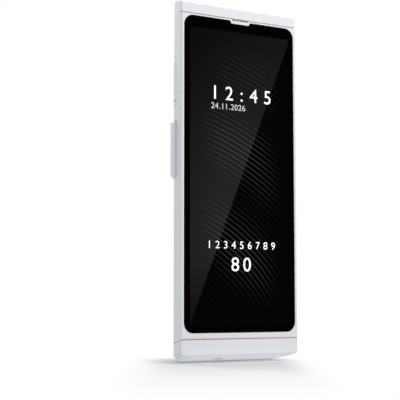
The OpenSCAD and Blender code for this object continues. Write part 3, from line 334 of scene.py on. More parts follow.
@dataclass(frozen=True)
class RingGlow(ScreenGlass):
    """Lit rings over the picture, which swell and fade with their radius and towards the picture's edges."""

    strength: float = 0.05
    centre: Pair = (0.0, 0.0)
    swell: float = 34.0 * MM
    swell_by: float = 0.45
    swell_about: float = 0.55
    fade_x: tuple[Pair, Pair] = ((-1.0, -1.0), (1.0, 1.0))  # from each end, where the light starts and is full
    fade_z: tuple[Pair, Pair] = ((-1.0, -1.0), (1.0, 1.0))

    def picture(self, tree: Tree) -> Socket:
        """Adds the rings' own light to the picture behind them.

        Args:
            tree: the material's tree.

        Returns:
            The light's strength.
        """
        x, _, z = tree.axes()
        wave = tree.calc("SINE", tree.product(tree.away(self.centre), math.tau / self.swell))
        total = tree.calc("MULTIPLY_ADD", wave, self.swell_by, self.swell_about)
        for value, (low, high) in ((x, self.fade_x), (z, self.fade_z)):
            total = tree.product(total, tree.ramp(value, *low), tree.ramp(value, *high))
        return tree.calc("MULTIPLY_ADD", total, self.strength, super().picture(tree))


@dataclass(frozen=True)
class Clear(Finish):
    """Clear glass or a milky diffuser, by how much light passes through."""

    passing: float = 1.0
    index: float = 1.45

    def extras(self, tree: Tree) -> dict[str, object]:
        """Lets light through, bent by the index of refraction."""
        return {"Transmission Weight": self.passing, "IOR": self.index}


@dataclass(frozen=True)
class CoatedLens(Finish):
    """Dark lens glass whose coating's green and violet glint is painted as rings of colour round its centre."""

    centre: Pair = (0.0, 0.0)
    radius: float = 1.7 * MM
    # tints of the painted coating reflection, for the inner ring and the outer ring
    ring: Colour = (0.016, 0.06, 0.048)
    rim: Colour = (0.03, 0.016, 0.05)
    turns: tuple[Pair, Pair, Pair] = ((0.25, 0.55), (0.60, 0.80), (0.85, 0.98))

    def tint(self, tree: Tree) -> Socket:
        """Builds the rings of colour, a painted reflection of the coating, which turn from one to the next at shares of
        the radius.

        Args:
            tree: the material's tree.

        Returns:
            The colour.
        """
        away = tree.away(self.centre)
        tone = self.colour
        for (start, end), colour in zip(self.turns, (self.ring, self.rim, self.colour)):
            tone = tree.blend(tree.ramp(away, self.radius * start, self.radius * end), tone, colour)
        return tone


@dataclass(frozen=True)
class BandMetal(Finish):
    """Satin metal with a painted highlight that turns it paler towards the upper edge of a slanted band."""

    # tone of the painted highlight along the band's upper edge
    pale: Colour = (0.82, 0.70, 0.67)
    highlight_edge_at: Pair = (6.15 * MM, 6.45 * MM)

    def tint(self, tree: Tree) -> Socket:
        """Builds the two tones, the paler one a painted highlight, by the height above the slanted lower face."""
        return tree.blend(tree.ramp(tree.above_lower_end(), *self.highlight_edge_at), self.colour, self.pale)


@dataclass(frozen=True)
class BrushedShell(Finish):
    """Moulded white with fine upright streaks in its colour as well as in its relief."""

    streak: float = 0.022
    streak_width: float = 0.4 * MM
    streak_length: float = 60.0 * MM

    def tint(self, tree: Tree) -> Socket:
        """Builds the colour with its streaks."""
        fine = tree.noise((1.0 / self.streak_width, 1.0 / self.streak_width, 1.0 / self.streak_length))
        return self.darkened(tree, fine, STREAK_OVER, self.streak)


@dataclass(frozen=True)
class CapShell(Finish):
    """Moulded white with painted shade inside the strap slot."""

    # colour of the painted shade inside the slot
    dark: Colour = (0.10, 0.10, 0.105)
    slot_x: Pair = (-8.75 * MM, -4.85 * MM)
    slot_y: Pair = (-1.2 * MM, 6.0 * MM)
    skin: float = 0.25 * MM

    def tint(self, tree: Tree) -> Socket:
        """Builds the colour, with painted shade between the slot's ends and above the slanted lower face.

        Args:
            tree: the material's tree.

        Returns:
            The colour.
        """
        x, y, _ = tree.axes()
        inside = tree.ramp(tree.above_lower_end(), self.skin, self.skin * 2.0)
        for value, ends in ((x, self.slot_x), (y, self.slot_y)):
            inside = tree.product(inside, tree.calc("GREATER_THAN", value, ends[0]),
                                  tree.calc("LESS_THAN", value, ends[1]))
        return tree.blend(inside, super().tint(tree), self.dark)


WHITE: Colour = (0.80, 0.805, 0.82)
GLOSSY = {"grain": Grain.POLISHED, "depth": 0.0}
CAP = CapShell("cap_white", "shell_plastic", WHITE, 0.42, pitch=0.16, depth=0.0025, edge=0.12)
SHELL_BACK = BrushedShell("shell_white_brushed", "shell_plastic", WHITE, 0.4, grain=Grain.BRUSHED, pitch=0.3,
                          edge=0.12)
FRONT = Finish("front_white", "front_plastic", WHITE, 0.4, pitch=0.16, depth=0.002, edge=0.12)
KEY = Finish("key_white", "key_plastic", WHITE, 0.38, pitch=0.16, depth=0.002, edge=0.15)
COPPER = BandMetal("copper_satin", "copper_band", (0.30, 0.235, 0.22), 0.36, metallic=1.0, grain=Grain.TURNED,
                   pitch=0.1, depth=0.002)
GLASS = ScreenGlass("cover_glass_black", "cover_glass", (0.0003,) * 3, 0.04, level=0.007, pitch=2.0, tone=0.1, **GLOSSY)
LENS_RING = Finish("camera_ring_black", "camera_glass", (0.002,) * 3, 0.08, level=0.05, tone=0.1, **GLOSSY)
CLEAR = Clear("window_clear", "camera_glass", (0.9, 0.93, 0.92), 0.01, level=0.05, tone=0.01, index=1.12, **GLOSSY)
BLACK = Finish("black_moulding", "black_plastic", (0.012, 0.012, 0.013), 0.5, level=0.2, pitch=0.1, depth=0.003,
               tone=0.15)
MESH = Finish("woven_mesh", "mesh", (0.12, 0.12, 0.125), 0.42, metallic=0.9, grain=Grain.WOVEN, pitch=0.22, depth=0.03)
CAST = Finish("cast_alloy", "plate_metal", (0.52, 0.53, 0.55), 0.45, metallic=0.9, grain=Grain.BLASTED, pitch=0.2,
              depth=0.01, tone=0.06)
STEEL = Finish("plated_steel", "steel", (0.55, 0.55, 0.56), 0.28, metallic=1.0, grain=Grain.BRUSHED, pitch=0.15,
               depth=0.003, tone=0.05)
GOLD = Finish("gold_contacts", "steel", (0.80, 0.55, 0.22), 0.22, metallic=1.0, tone=0.05, **GLOSSY)
BOARD = Finish("solder_mask", "circuit_board", (0.010, 0.075, 0.035), 0.32, pitch=1.2, depth=0.01, tone=0.25)
FILM = Finish("amber_film", "flex_film", (0.34, 0.13, 0.02), 0.3, grain=Grain.CREASED, pitch=1.0, tone=0.15)
FOIL = Finish("pouch_foil", "battery_foil", (0.42, 0.43, 0.45), 0.35, metallic=0.7, grain=Grain.CREASED, pitch=1.5,
              depth=0.03, tone=0.08)
TAPE = Finish("foam_tape", "tape", (0.012, 0.012, 0.013), 0.85, grain=Grain.BLASTED, pitch=0.3, depth=0.03, tone=0.2)
RUBBER = Finish("soft_rubber", "soft_rubber", (0.008,) * 3, 0.7, pitch=0.3, depth=0.01, tone=0.2)
CARD = Finish("card_plastic", "sim_plastic", (0.66, 0.64, 0.58), 0.4, pitch=0.3, depth=0.003)
PANEL = Finish("display_panel_dark", "display", (0.006, 0.006, 0.007), 0.12, tone=0.2, **GLOSSY)
MILKY = Clear("flash_milky", "flash_diffuser", (0.86, 0.86, 0.80), 0.35, pitch=0.4, depth=0.02, passing=0.3)
PHOSPHOR = Finish("phosphor", "led", (0.78, 0.60, 0.12), 0.5, grain=Grain.BLASTED, pitch=0.1, depth=0.01, tone=0.1)
DIGITS = Glow("screen_digits", "display", (0.9,) * 3, 0.4, strength=0.55, **GLOSSY)
MARKS = Glow("screen_marks", "display", (0.5,) * 3, 0.4, strength=0.32, **GLOSSY)
RING_CENTRE = (-48.0 * MM, -88.0 * MM)
RINGS = RingGlow("screen_rings", "display", (0.0003,) * 3, 0.5, level=0.0, strength=0.06, centre=RING_CENTRE,
                 fade_x=((-21.0 * MM, -6.0 * MM), (21.0 * MM, 6.0 * MM)),
                 fade_z=((-56.0 * MM, -30.0 * MM), (57.0 * MM, 24.0 * MM)), **GLOSSY)


class Bench:
    """Ways to make a mesh object, dress it and hang it on a body."""

    sharp_above = math.radians(32.0)
    flat_below = math.radians(0.5)
    bevel_above = math.radians(35.0)
    bevel_steps = 3
    area_weight = 90
    weld = 0.001 * MM
    fine_weld = 0.0005 * MM

    @staticmethod
    def placed(name: str, data: bpy.types.ID) -> Piece:
        """Makes an object and links it to the scene.

        Args:
            name: the object's name.
            data: its mesh, curve, light or camera.

        Returns:
            The object.
        """
        made = bpy.data.objects.new(name, data)
        bpy.context.scene.collection.objects.link(made)
        return made

    @staticmethod
    def aim(piece: Piece, direction: Vector) -> None:
        """Turns a camera or a light to look along a direction."""
        piece.rotation_mode = "QUATERNION"
        piece.rotation_quaternion = direction.to_track_quat("-Z", "Y")

    @staticmethod
    def object_of(name: str, build: bmesh.types.BMesh) -> Piece:
        """Turns a bmesh into an object in the scene.

        Args:
            name: the piece's name.
            build: the bmesh, which is freed.

        Returns:
            The object.
        """
        mesh = bpy.data.meshes.new(name)
        build.to_mesh(mesh)
        build.free()
        return Bench.placed(name, mesh)

    @staticmethod
    def smooth(piece: Piece) -> None:
        """Shades a piece smooth, with its sharper edges kept sharp."""
        piece.data.polygons.foreach_set("use_smooth", [True] * len(piece.data.polygons))
        piece.data.set_sharp_from_angle(angle=Bench.sharp_above)

    @staticmethod
    def settle(piece: Piece) -> Piece:
        """Turns a piece and its modifiers into a plain mesh and takes the modifiers away.

        Args:
            piece: the piece with its modifiers.

        Returns:
            The same piece.
        """
        graph = bpy.context.evaluated_depsgraph_get()
        mesh = bpy.data.meshes.new_from_object(piece.evaluated_get(graph))
        piece.modifiers.clear()
        piece.data = mesh
        return piece

    @staticmethod
    def copy_of(node: str, name: str, bevel: float = 0.0) -> Piece:
        """Copies a node's mesh, joins its loose triangles and rounds its edges.

        Args:
            node: the node to copy.
            name: the piece's name.
            bevel: width of the rounded edges, or 0 for none.

        Returns:
            The copy, which doesn't ride on anything yet.
        """
        build = bmesh.new()
        build.from_mesh(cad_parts[node].data)
        bmesh.ops.remove_doubles(build, verts=build.verts, dist=Bench.weld)
        bmesh.ops.dissolve_limit(build, angle_limit=Bench.flat_below, verts=build.verts, edges=build.edges)
        made = Bench.object_of(name, build)
        if bevel:
            edge = made.modifiers.new("edge", "BEVEL")
            edge.width, edge.segments, edge.limit_method = bevel, Bench.bevel_steps, "ANGLE"
            edge.angle_limit, edge.use_clamp_overlap = Bench.bevel_above, True
            Bench.settle(made)
        Bench.smooth(made)
        even = made.modifiers.new("even", "WEIGHTED_NORMAL")
        even.mode, even.weight, even.keep_sharp = "FACE_AREA", Bench.area_weight, True
        return Bench.settle(made)

    @staticmethod
    def turned(name: str, profile: list[Pair], centre: Pair, steps: int = 96, sweep: float = math.tau,
               start: float = 0.0) -> Piece:
        """Spins a profile about a line along Y.

        Args:
            name: the piece's name.
            profile: points of (radius, y), in metres.
            centre: x and z of the line.
            steps: steps round the line.
            sweep: angle of the turn.
            start: angle at which the turn starts.

        Returns:
            The turned piece.
        """
        build = bmesh.new()
        closed = sweep >= math.tau
        rings = []
        for step in range(steps if closed else steps + 1):
            angle = start + sweep * step / steps
            rings.append([build.verts.new((centre[0] + r * math.cos(angle), y, centre[1] + r * math.sin(angle)))
                          for r, y in profile])
        for index in range(steps):
            first, second = rings[index], rings[(index + 1) % len(rings)]
            for a in range(len(profile)):
                b = (a + 1) % len(profile)
                if profile[a][0] == profile[b][0] == 0.0:
                    continue
                build.faces.new((first[a], first[b], second[b], second[a]))
        if not closed:
            build.faces.new(rings[0])
            build.faces.new(list(reversed(rings[-1])))
        bmesh.ops.remove_doubles(build, verts=build.verts, dist=Bench.fine_weld)
        bmesh.ops.recalc_face_normals(build, faces=build.faces)
        made = Bench.object_of(name, build)
        Bench.smooth(made)
        return made

    @staticmethod
    def dress(piece: Piece, finish: Finish, body: str, *nodes: str) -> None:
        """Gives a piece its finish, its body and the nodes that it stands for.

        Args:
            piece: the finished mesh object.
            finish: its finish.
            body: the body that it rides on.
            nodes: the nodes that it replaces.
        """
        Bench.coat(piece, finish)
        if nodes:
            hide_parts(*nodes)
        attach(piece, body)
        log.info("%-26s rides on %s%s", piece.name, body, f", stands for {', '.join(nodes)}" if nodes else "")

    @staticmethod
    def coat(piece: Piece, finish: Finish) -> None:
        """Sets a finish on all of a piece's material slots.

        Args:
            piece: the piece, with or without a slot.
            finish: its finish.
        """
        if not piece.data.materials:
            piece.data.materials.append(finish.material())
        for index in range(len(piece.data.materials)):
            piece.data.materials[index] = finish.material()

    @staticmethod
    def paint(node: str, finish: Finish) -> None:
        """Gives a node's own object a finish."""
        Bench.coat(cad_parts[node], finish)
        log.info("%-26s keeps its solid, %s", node, finish.name)


class Nodework:
    """A Geometry Nodes tree with named inputs, run once into a plain mesh."""

    def __init__(self, name: str) -> None:
        """Starts an empty tree with one geometry output.

        Args:
            name: the tree's name.
        """
        self.group = bpy.data.node_groups.new(name, "GeometryNodeTree")
        self.group.interface.new_socket("Geometry", in_out="OUTPUT", socket_type="NodeSocketGeometry")
        self.tree = Tree(self.group)
        self.given: dict[str, Socket] = {}

    def inputs(self, **kinds: str) -> dict[str, Socket]:
        """Args:
            kinds: for each input, Float, Int, Vector or Material.

        Returns:
            Their values, by name.
        """
        for name, kind in kinds.items():
            self.group.interface.new_socket(name, in_out="INPUT", socket_type="NodeSocket" + kind)
        entry = self.tree.add("NodeGroupInput")
        self.given = {name: entry.outputs[name] for name in kinds}
        return self.given

    def finish(self, geometry: Node) -> None:
        """Ends the tree in Realize Instances and Set Material.

        Args:
            geometry: the node that gives what the tree has made.
        """
        real = self.tree.add("GeometryNodeRealizeInstances", {"Geometry": geometry})
        paint = self.tree.add("GeometryNodeSetMaterial", {"Geometry": real, "Material": self.given["Material"]})
        self.tree.add("NodeGroupOutput", {"Geometry": paint})

    def run(self, name: str, **values: object) -> Piece:
        """Runs the tree with given sizes.

        Args:
            name: the piece's name.
            values: a value for each named input.

        Returns:
            A piece with a plain mesh.
        """
        made = Bench.placed(name, bpy.data.meshes.new(name))
        work = made.modifiers.new("work", "NODES")
        work.node_group = self.group
        for key, value in values.items():
            work[self.group.interface.items_tree[key].identifier] = value
        return Bench.settle(made)


def row_work() -> Nodework:
    """Builds the tree for a row of equal small blocks, as contacts and pins are.

    Returns:
        The tree, with inputs Count, Start, Step, Size and Material.
    """
    work = Nodework("block_row")
    given = work.inputs(Count="Int", Start="Vector", Step="Vector", Size="Vector", Material="Material")
    tree = work.tree
    line = tree.add("GeometryNodeMeshLine", {"Count": given["Count"], "Offset": given["Step"],
                                             "Start Location": given["Start"]}, mode="OFFSET")
    cube = tree.add("GeometryNodeMeshCube", {"Size": given["Size"]})
    copies = tree.add("GeometryNodeInstanceOnPoints", {"Points": line, "Instance": cube})
    work.finish(copies)
    return work


def ring_work() -> Nodework:
    """Builds the tree for fine rings: quarter arcs round one centre, cut to an upright rectangle.

    Returns:
        The tree, with inputs Count, First, Pitch, Centre, Left, Right, Low, High, Depth, Thread and Material.
    """
    work = Nodework("fine_rings")
    given = work.inputs(Count="Int", First="Float", Pitch="Float", Centre="Vector", Left="Float", Right="Float",
                        Low="Float", High="Float", Depth="Float", Thread="Float", Material="Material")
    tree = work.tree
    arc_steps, thread_sides, flattening = 160, 4, 0.08

    def place() -> tuple[Socket, Socket, Socket]:
        """Gives each point's x, y and z."""
        return tree.split(tree.add("GeometryNodeInputPosition"))

    def at(x: object, y: object, z: object) -> Node:
        """Joins three values into a vector."""
        return tree.add("ShaderNodeCombineXYZ", {"X": x, "Y": y, "Z": z})

    ladder = tree.add("GeometryNodeMeshLine", {"Count": given["Count"], "Offset": (0.0,) * 3}, mode="OFFSET")
    arc = tree.add("GeometryNodeCurveArc", {"Resolution": arc_steps, "Radius": 1.0, "Start Angle": 0.0,
                                            "Sweep Angle": math.pi / 2}, mode="RADIUS")
    radius = tree.calc("MULTIPLY_ADD", tree.add("GeometryNodeInputIndex"), given["Pitch"], given["First"])
    copies = tree.add("GeometryNodeInstanceOnPoints", {"Points": ladder, "Instance": arc,
                                                       "Scale": at(radius, radius, radius)})
    real = tree.add("GeometryNodeRealizeInstances", {"Geometry": copies})
    flat_x, flat_y, _ = place()
    upright = tree.add("GeometryNodeSetPosition", {"Geometry": real, "Position": at(flat_x, 0.0, flat_y),
                                                   "Offset": given["Centre"]})
    x, _, z = place()
    outside = tree.chain("MAXIMUM", tree.calc("LESS_THAN", x, given["Left"]),
                         tree.calc("GREATER_THAN", x, given["Right"]), tree.calc("LESS_THAN", z, given["Low"]),
                         tree.calc("GREATER_THAN", z, given["High"]))
    cut = tree.add("GeometryNodeDeleteGeometry", {"Geometry": upright, "Selection": outside}, domain="POINT")
    thread = tree.add("GeometryNodeCurvePrimitiveCircle", {"Resolution": thread_sides, "Radius": given["Thread"]})
    tube = tree.add("GeometryNodeCurveToMesh", {"Curve": cut, "Profile Curve": thread, "Fill Caps": True})
    x, y, z = place()
    depth = tree.calc("MULTIPLY_ADD", y, flattening, given["Depth"])
    flat = tree.add("GeometryNodeSetPosition", {"Geometry": tube, "Position": at(x, depth, z)})
    work.finish(flat)
    return work


@dataclass
class Shells:
    """The white outer mouldings and the copper band."""

    finishes: dict[str, Finish] = field(default_factory=lambda: {
        "rear_housing": SHELL_BACK, "front_frame": FRONT, "end_cap": CAP, "accent_band": COPPER})

    def build(self) -> None:
        """Copies the moulded shells with smooth surfaces and dresses them."""
        for node, finish in self.finishes.items():
            Bench.dress(Bench.copy_of(node, f"{node}_shell"), finish, "housing", node)


@dataclass
class SideControls:
    """Keys, rocker and card tray in the long sides."""

    def build(self) -> None:
        """Dresses each control on its own body."""
        for node in ("power_key", "translate_key_upper", "translate_key_lower", "volume_rocker"):
            Bench.dress(Bench.copy_of(node, f"{node}_cap"), KEY, node, node)
        Bench.dress(Bench.copy_of("sim_tray", "sim_tray_moulding"), KEY, "sim_tray", "sim_tray")
        Bench.paint("sim_card", CARD)


@dataclass
class Screen:
    """Cover glass with the lit picture, figures and fine rings on it."""

    face_y: float = -6.25 * MM
    edge: float = 0.15 * MM
    proud: float = 0.012 * MM
    picture_x: Pair = (-21.5 * MM, 21.5 * MM)
    picture_z: Pair = (-56.5 * MM, 58.0 * MM)
    ring_first: float = 44.0 * MM
    ring_pitch: float = 1.9 * MM
    ring_count: int = 60
    ring_thread: float = 0.12 * MM
    ring_lift: float = 0.004 * MM
    mark_widths: Pair = (0.30, 0.62)  # thin and wide marks, as shares of the height
    digit_share: float = 0.69  # a digit's height as a share of the font's size
    small_below: float = 2.5  # height in mm under which a line is dimmer
    lines: tuple[tuple[str, str, float, float, float, float], ...] = (  # x of both ends, foot and height in mm
        ("clock_digits", "12:45", -13.4, 14.5, 31.4, 5.4), ("date_digits", "24.11.2026", -13.4, 2.2, 27.6, 2.3),
        ("count_digits", "1 2 3 4 5 6 7 8 9", -15.2, 16.0, -27.5, 2.9), ("level_digits", "80", -4.3, 4.5, -36.3, 5.4))

    def build(self) -> None:
        """Makes the glass and everything lit on it."""
        glass = Bench.copy_of("cover_glass", "cover_glass_plate", self.edge)
        Bench.dress(glass, GLASS, "housing", "cover_glass")
        for name, words, left, right, foot, height in self.lines:
            piece = self.figures(name, words, (left * MM, right * MM), foot * MM, height * MM)
            Bench.dress(piece, MARKS if height < self.small_below else DIGITS, "housing")
        self.rings()

    def figures(self, name: str, words: str, ends: Pair, foot: float, height: float) -> Piece:
        """Makes plain figures that stand on the glass, spread evenly between two ends.

        Args:
            name: the piece's name.
            words: the figures.
            ends: x of their left and right ends.
            foot: z of their foot.
            height: their height.

        Returns:
            The figures as a mesh.
        """
        build = bmesh.new()
        glyphs = [mark for mark in words if mark != " "]
        widths = [self.mark_widths[mark not in ".:"] for mark in glyphs]
        room = (ends[1] - ends[0]) - sum(widths) * height
        gap = room / (len(glyphs) - 1)
        left = ends[0]
        for mark, width in zip(glyphs, widths):
            curve = bpy.data.curves.new(name, "FONT")
            curve.body, curve.size, curve.extrude = mark, height / self.digit_share, self.proud
            curve.align_x = "CENTER"
            text = Bench.placed(name + "_mark", curve)
            graph = bpy.context.evaluated_depsgraph_get()
            mesh = bpy.data.meshes.new_from_object(text.evaluated_get(graph))
            bpy.data.objects.remove(text)
            mesh.transform(Matrix.Translation((left + width * height / 2, self.face_y, foot))
                           @ Matrix.Rotation(math.pi / 2, 4, "X"))
            build.from_mesh(mesh)
            left += width * height + gap
        return Bench.object_of(name, build)

    def rings(self) -> None:
        """Makes the fine rings behind the figures."""
        piece = ring_work().run("screen_rings", Count=self.ring_count, First=self.ring_first, Pitch=self.ring_pitch,
                                Centre=Vector((RING_CENTRE[0], 0.0, RING_CENTRE[1])), Left=self.picture_x[0],
                                Right=self.picture_x[1], Low=self.picture_z[0], High=self.picture_z[1],
                                Depth=self.face_y - self.ring_lift, Thread=self.ring_thread,
                                Material=RINGS.material())
        Bench.dress(piece, RINGS, "housing")


@dataclass
class CameraIsland:
    """Camera window with its lens, and the flash."""

    centre: Pair = (8.5 * MM, 51.05 * MM)
    window_r: float = 4.45 * MM
    window_ease: float = 0.12 * MM
    clear_r: float = 2.3 * MM
    dome_rise: float = 0.28 * MM
    dome_steps: int = 12
    step_count: int = 4
    step_room: float = 0.04 * MM  # between the lens and the first step
    step_pitch: float = 0.14 * MM
    step_width: float = 0.1 * MM
    step_drop: float = 0.25 * MM
    step_foot: float = 0.35 * MM
    rim_ends: Pair = (0.05 * MM, 0.35 * MM)
    rim_room: float = 0.05 * MM
    flash: Pair = (8.5 * MM, 42.75 * MM)
    flash_r: float = 2.2 * MM
    flash_ease: float = 0.1 * MM
    bright_r: float = 1.35 * MM
    groove_count: int = 6
    groove_width: float = 0.05 * MM
    groove_depth: float = 0.07 * MM
    dimple: float = 0.02 * MM
    # dark open ring of painted shade in the groove round the flash window
    groove_shade: Pair = (1.45 * MM, 2.02 * MM)
    groove_shade_y: Pair = (-0.1 * MM, 0.012 * MM)
    groove_shade_steps: int = 60
    groove_shade_sweep: float = math.radians(285.0)

    def build(self) -> None:
        """Makes the window, the lens and the flash."""
        low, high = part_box("camera_window")
        ease = self.window_ease
        ring = Bench.turned("camera_window_ring", [
            (self.clear_r, low.y), (self.window_r - ease, low.y), (self.window_r, low.y + ease),
            (self.window_r, high.y - ease), (self.window_r - ease, high.y), (self.clear_r + ease, high.y),
            (self.clear_r, high.y - ease * 0.5)], self.centre)
        Bench.dress(ring, LENS_RING, "housing", "camera_window")
        pane = Bench.turned("camera_window_pane", [(0.0, low.y + ease), (self.clear_r, low.y + ease),
                                                   (self.clear_r, high.y - ease), (0.0, high.y - ease)], self.centre)
        Bench.dress(pane, CLEAR, "housing")
        self.lens(low.y)
        self.flash_unit()

    def lens(self, under_window: float) -> None:
        """Makes the domed lens and the stepped rings round it.

        Args:
            under_window: y of the window's inner face, just above the rings.
        """
        low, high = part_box("camera_lens")
        radius, rim_y = (high.x - low.x) / 2, high.y - self.dome_rise
        dome = [(0.0, low.y), (radius, low.y), (radius, rim_y)]
        for step in range(1, self.dome_steps):
            angle = step * math.pi / (2 * self.dome_steps)
            dome.append((radius * math.cos(angle), rim_y + self.dome_rise * math.sin(angle)))
        dome.append((0.0, high.y))
        coated = CoatedLens("coated_lens", "lens_glass", (0.004, 0.006, 0.008), 0.16, level=0.02,
                            centre=self.centre, radius=radius, **GLOSSY)
        Bench.dress(Bench.turned("camera_lens_dome", dome, self.centre), coated, "housing", "camera_lens")
        steps = []
        top, first = under_window - self.rim_room, high.y - self.step_drop
        for index in range(self.step_count):
            r = radius + self.step_room + index * self.step_pitch
            y = first + (top - first) * index / self.step_count
            steps += [(r, y), (r + self.step_width, y)]
        last, foot = steps[-1][0], high.y - self.step_foot
        steps += [(last + self.rim_ends[0], top), (last + self.rim_ends[1], top), (last + self.rim_ends[1], foot),
                  (steps[0][0], foot)]
        Bench.dress(Bench.turned("camera_lens_rings", steps, self.centre), BLACK, "housing")

    def flash_unit(self) -> None:
        """Makes the flash window with its moulded rings, and a dark open ring round them that is painted shade in the
        groove round the window.
        """
        low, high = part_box("flash_window")
        face = [(0.0, low.y), (self.flash_r, low.y), (self.flash_r, high.y - self.flash_ease),
                (self.flash_r - self.flash_ease, high.y), (self.bright_r, high.y)]
        for index in range(self.groove_count):
            r = self.bright_r - (index + 0.5) * self.bright_r / (self.groove_count + 0.5)
            face += [(r + self.groove_width, high.y - self.groove_depth), (r, high.y)]
        face.append((0.0, high.y - self.dimple))
        Bench.dress(Bench.turned("flash_window_lens", face, self.flash), MILKY, "housing", "flash_window")
        # the dark open ring is painted shade, left open on the side where the groove is out of sight
        (inner, outer), (sunk, proud) = self.groove_shade, self.groove_shade_y
        arc = [(inner, high.y + sunk), (outer, high.y + sunk), (outer, high.y + proud), (inner, high.y + proud)]
        ring = Bench.turned("flash_groove_shade", arc, self.flash, self.groove_shade_steps, self.groove_shade_sweep,
                            -self.groove_shade_sweep / 2)
        Bench.dress(ring, LENS_RING, "housing")


@dataclass
class Internals:
    """Everything under the shells, which keeps its own solid."""

    groups: tuple[tuple[Finish, tuple[str, ...]], ...] = (
        (PANEL, ("display_panel", "display_adhesive")),
        (BLACK, ("camera_module", "loudspeaker", "board_connectors", "usb_port_tongue")),
        (MESH, ("earpiece_mesh", "speaker_mesh")), (CAST, ("mid_plate", "right_key_bracket", "left_key_bracket")),
        (STEEL, ("plate_screws", "board_screws", "cap_screws", "processor_shield", "radio_shield", "usb_port_shell",
                 "sim_reader", "earpiece_receiver", "vibration_motor", "microphones", "key_switches")),
        (BOARD, ("main_board",)),
        (FILM, ("display_flex", "battery_flex", "camera_flex", "right_key_flex", "left_key_flex", "upper_antenna",
                "lower_antenna")),
        (FOIL, ("battery_cell",)), (TAPE, ("battery_tape", "motor_tape", "thermal_pad")),
        (RUBBER, ("microphone_boots",)), (PHOSPHOR, ("flash_led",)))
    contact_count: int = 12
    contact_pitch: float = 0.5 * MM
    contact_size: Triple = (0.28 * MM, 0.04 * MM, 2.4 * MM)
    contact_drop: float = 1.5 * MM

    def build(self) -> None:
        """Paints the inner nodes and adds the port's contacts."""
        for finish, nodes in self.groups:
            for node in nodes:
                Bench.paint(node, finish)
        low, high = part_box("usb_port_tongue")
        work = row_work()
        left = (low.x + high.x) / 2 - self.contact_pitch * (self.contact_count - 1) / 2
        for side, y in (("front", low.y), ("back", high.y)):
            piece = work.run(f"port_contacts_{side}", Count=self.contact_count, Size=Vector(self.contact_size),
                             Start=Vector((left, y, high.z - self.contact_drop)),
                             Step=Vector((self.contact_pitch, 0.0, 0.0)), Material=GOLD.material())
            Bench.dress(piece, GOLD, "housing")


@dataclass(frozen=True)
class Lamp:
    """A square soft light aimed at the object, with its power in watts."""

    name: str
    place: Triple
    size: float
    power: float
    glossy: bool = True

    def hang(self) -> None:
        """Hangs the light in the scene."""
        data = bpy.data.lights.new(self.name, "AREA")
        data.shape, data.size, data.energy = "SQUARE", self.size, self.power
        made = Bench.placed(self.name, data)
        made.location = self.place
        made.visible_glossy = self.glossy
        Bench.aim(made, -Vector(self.place))


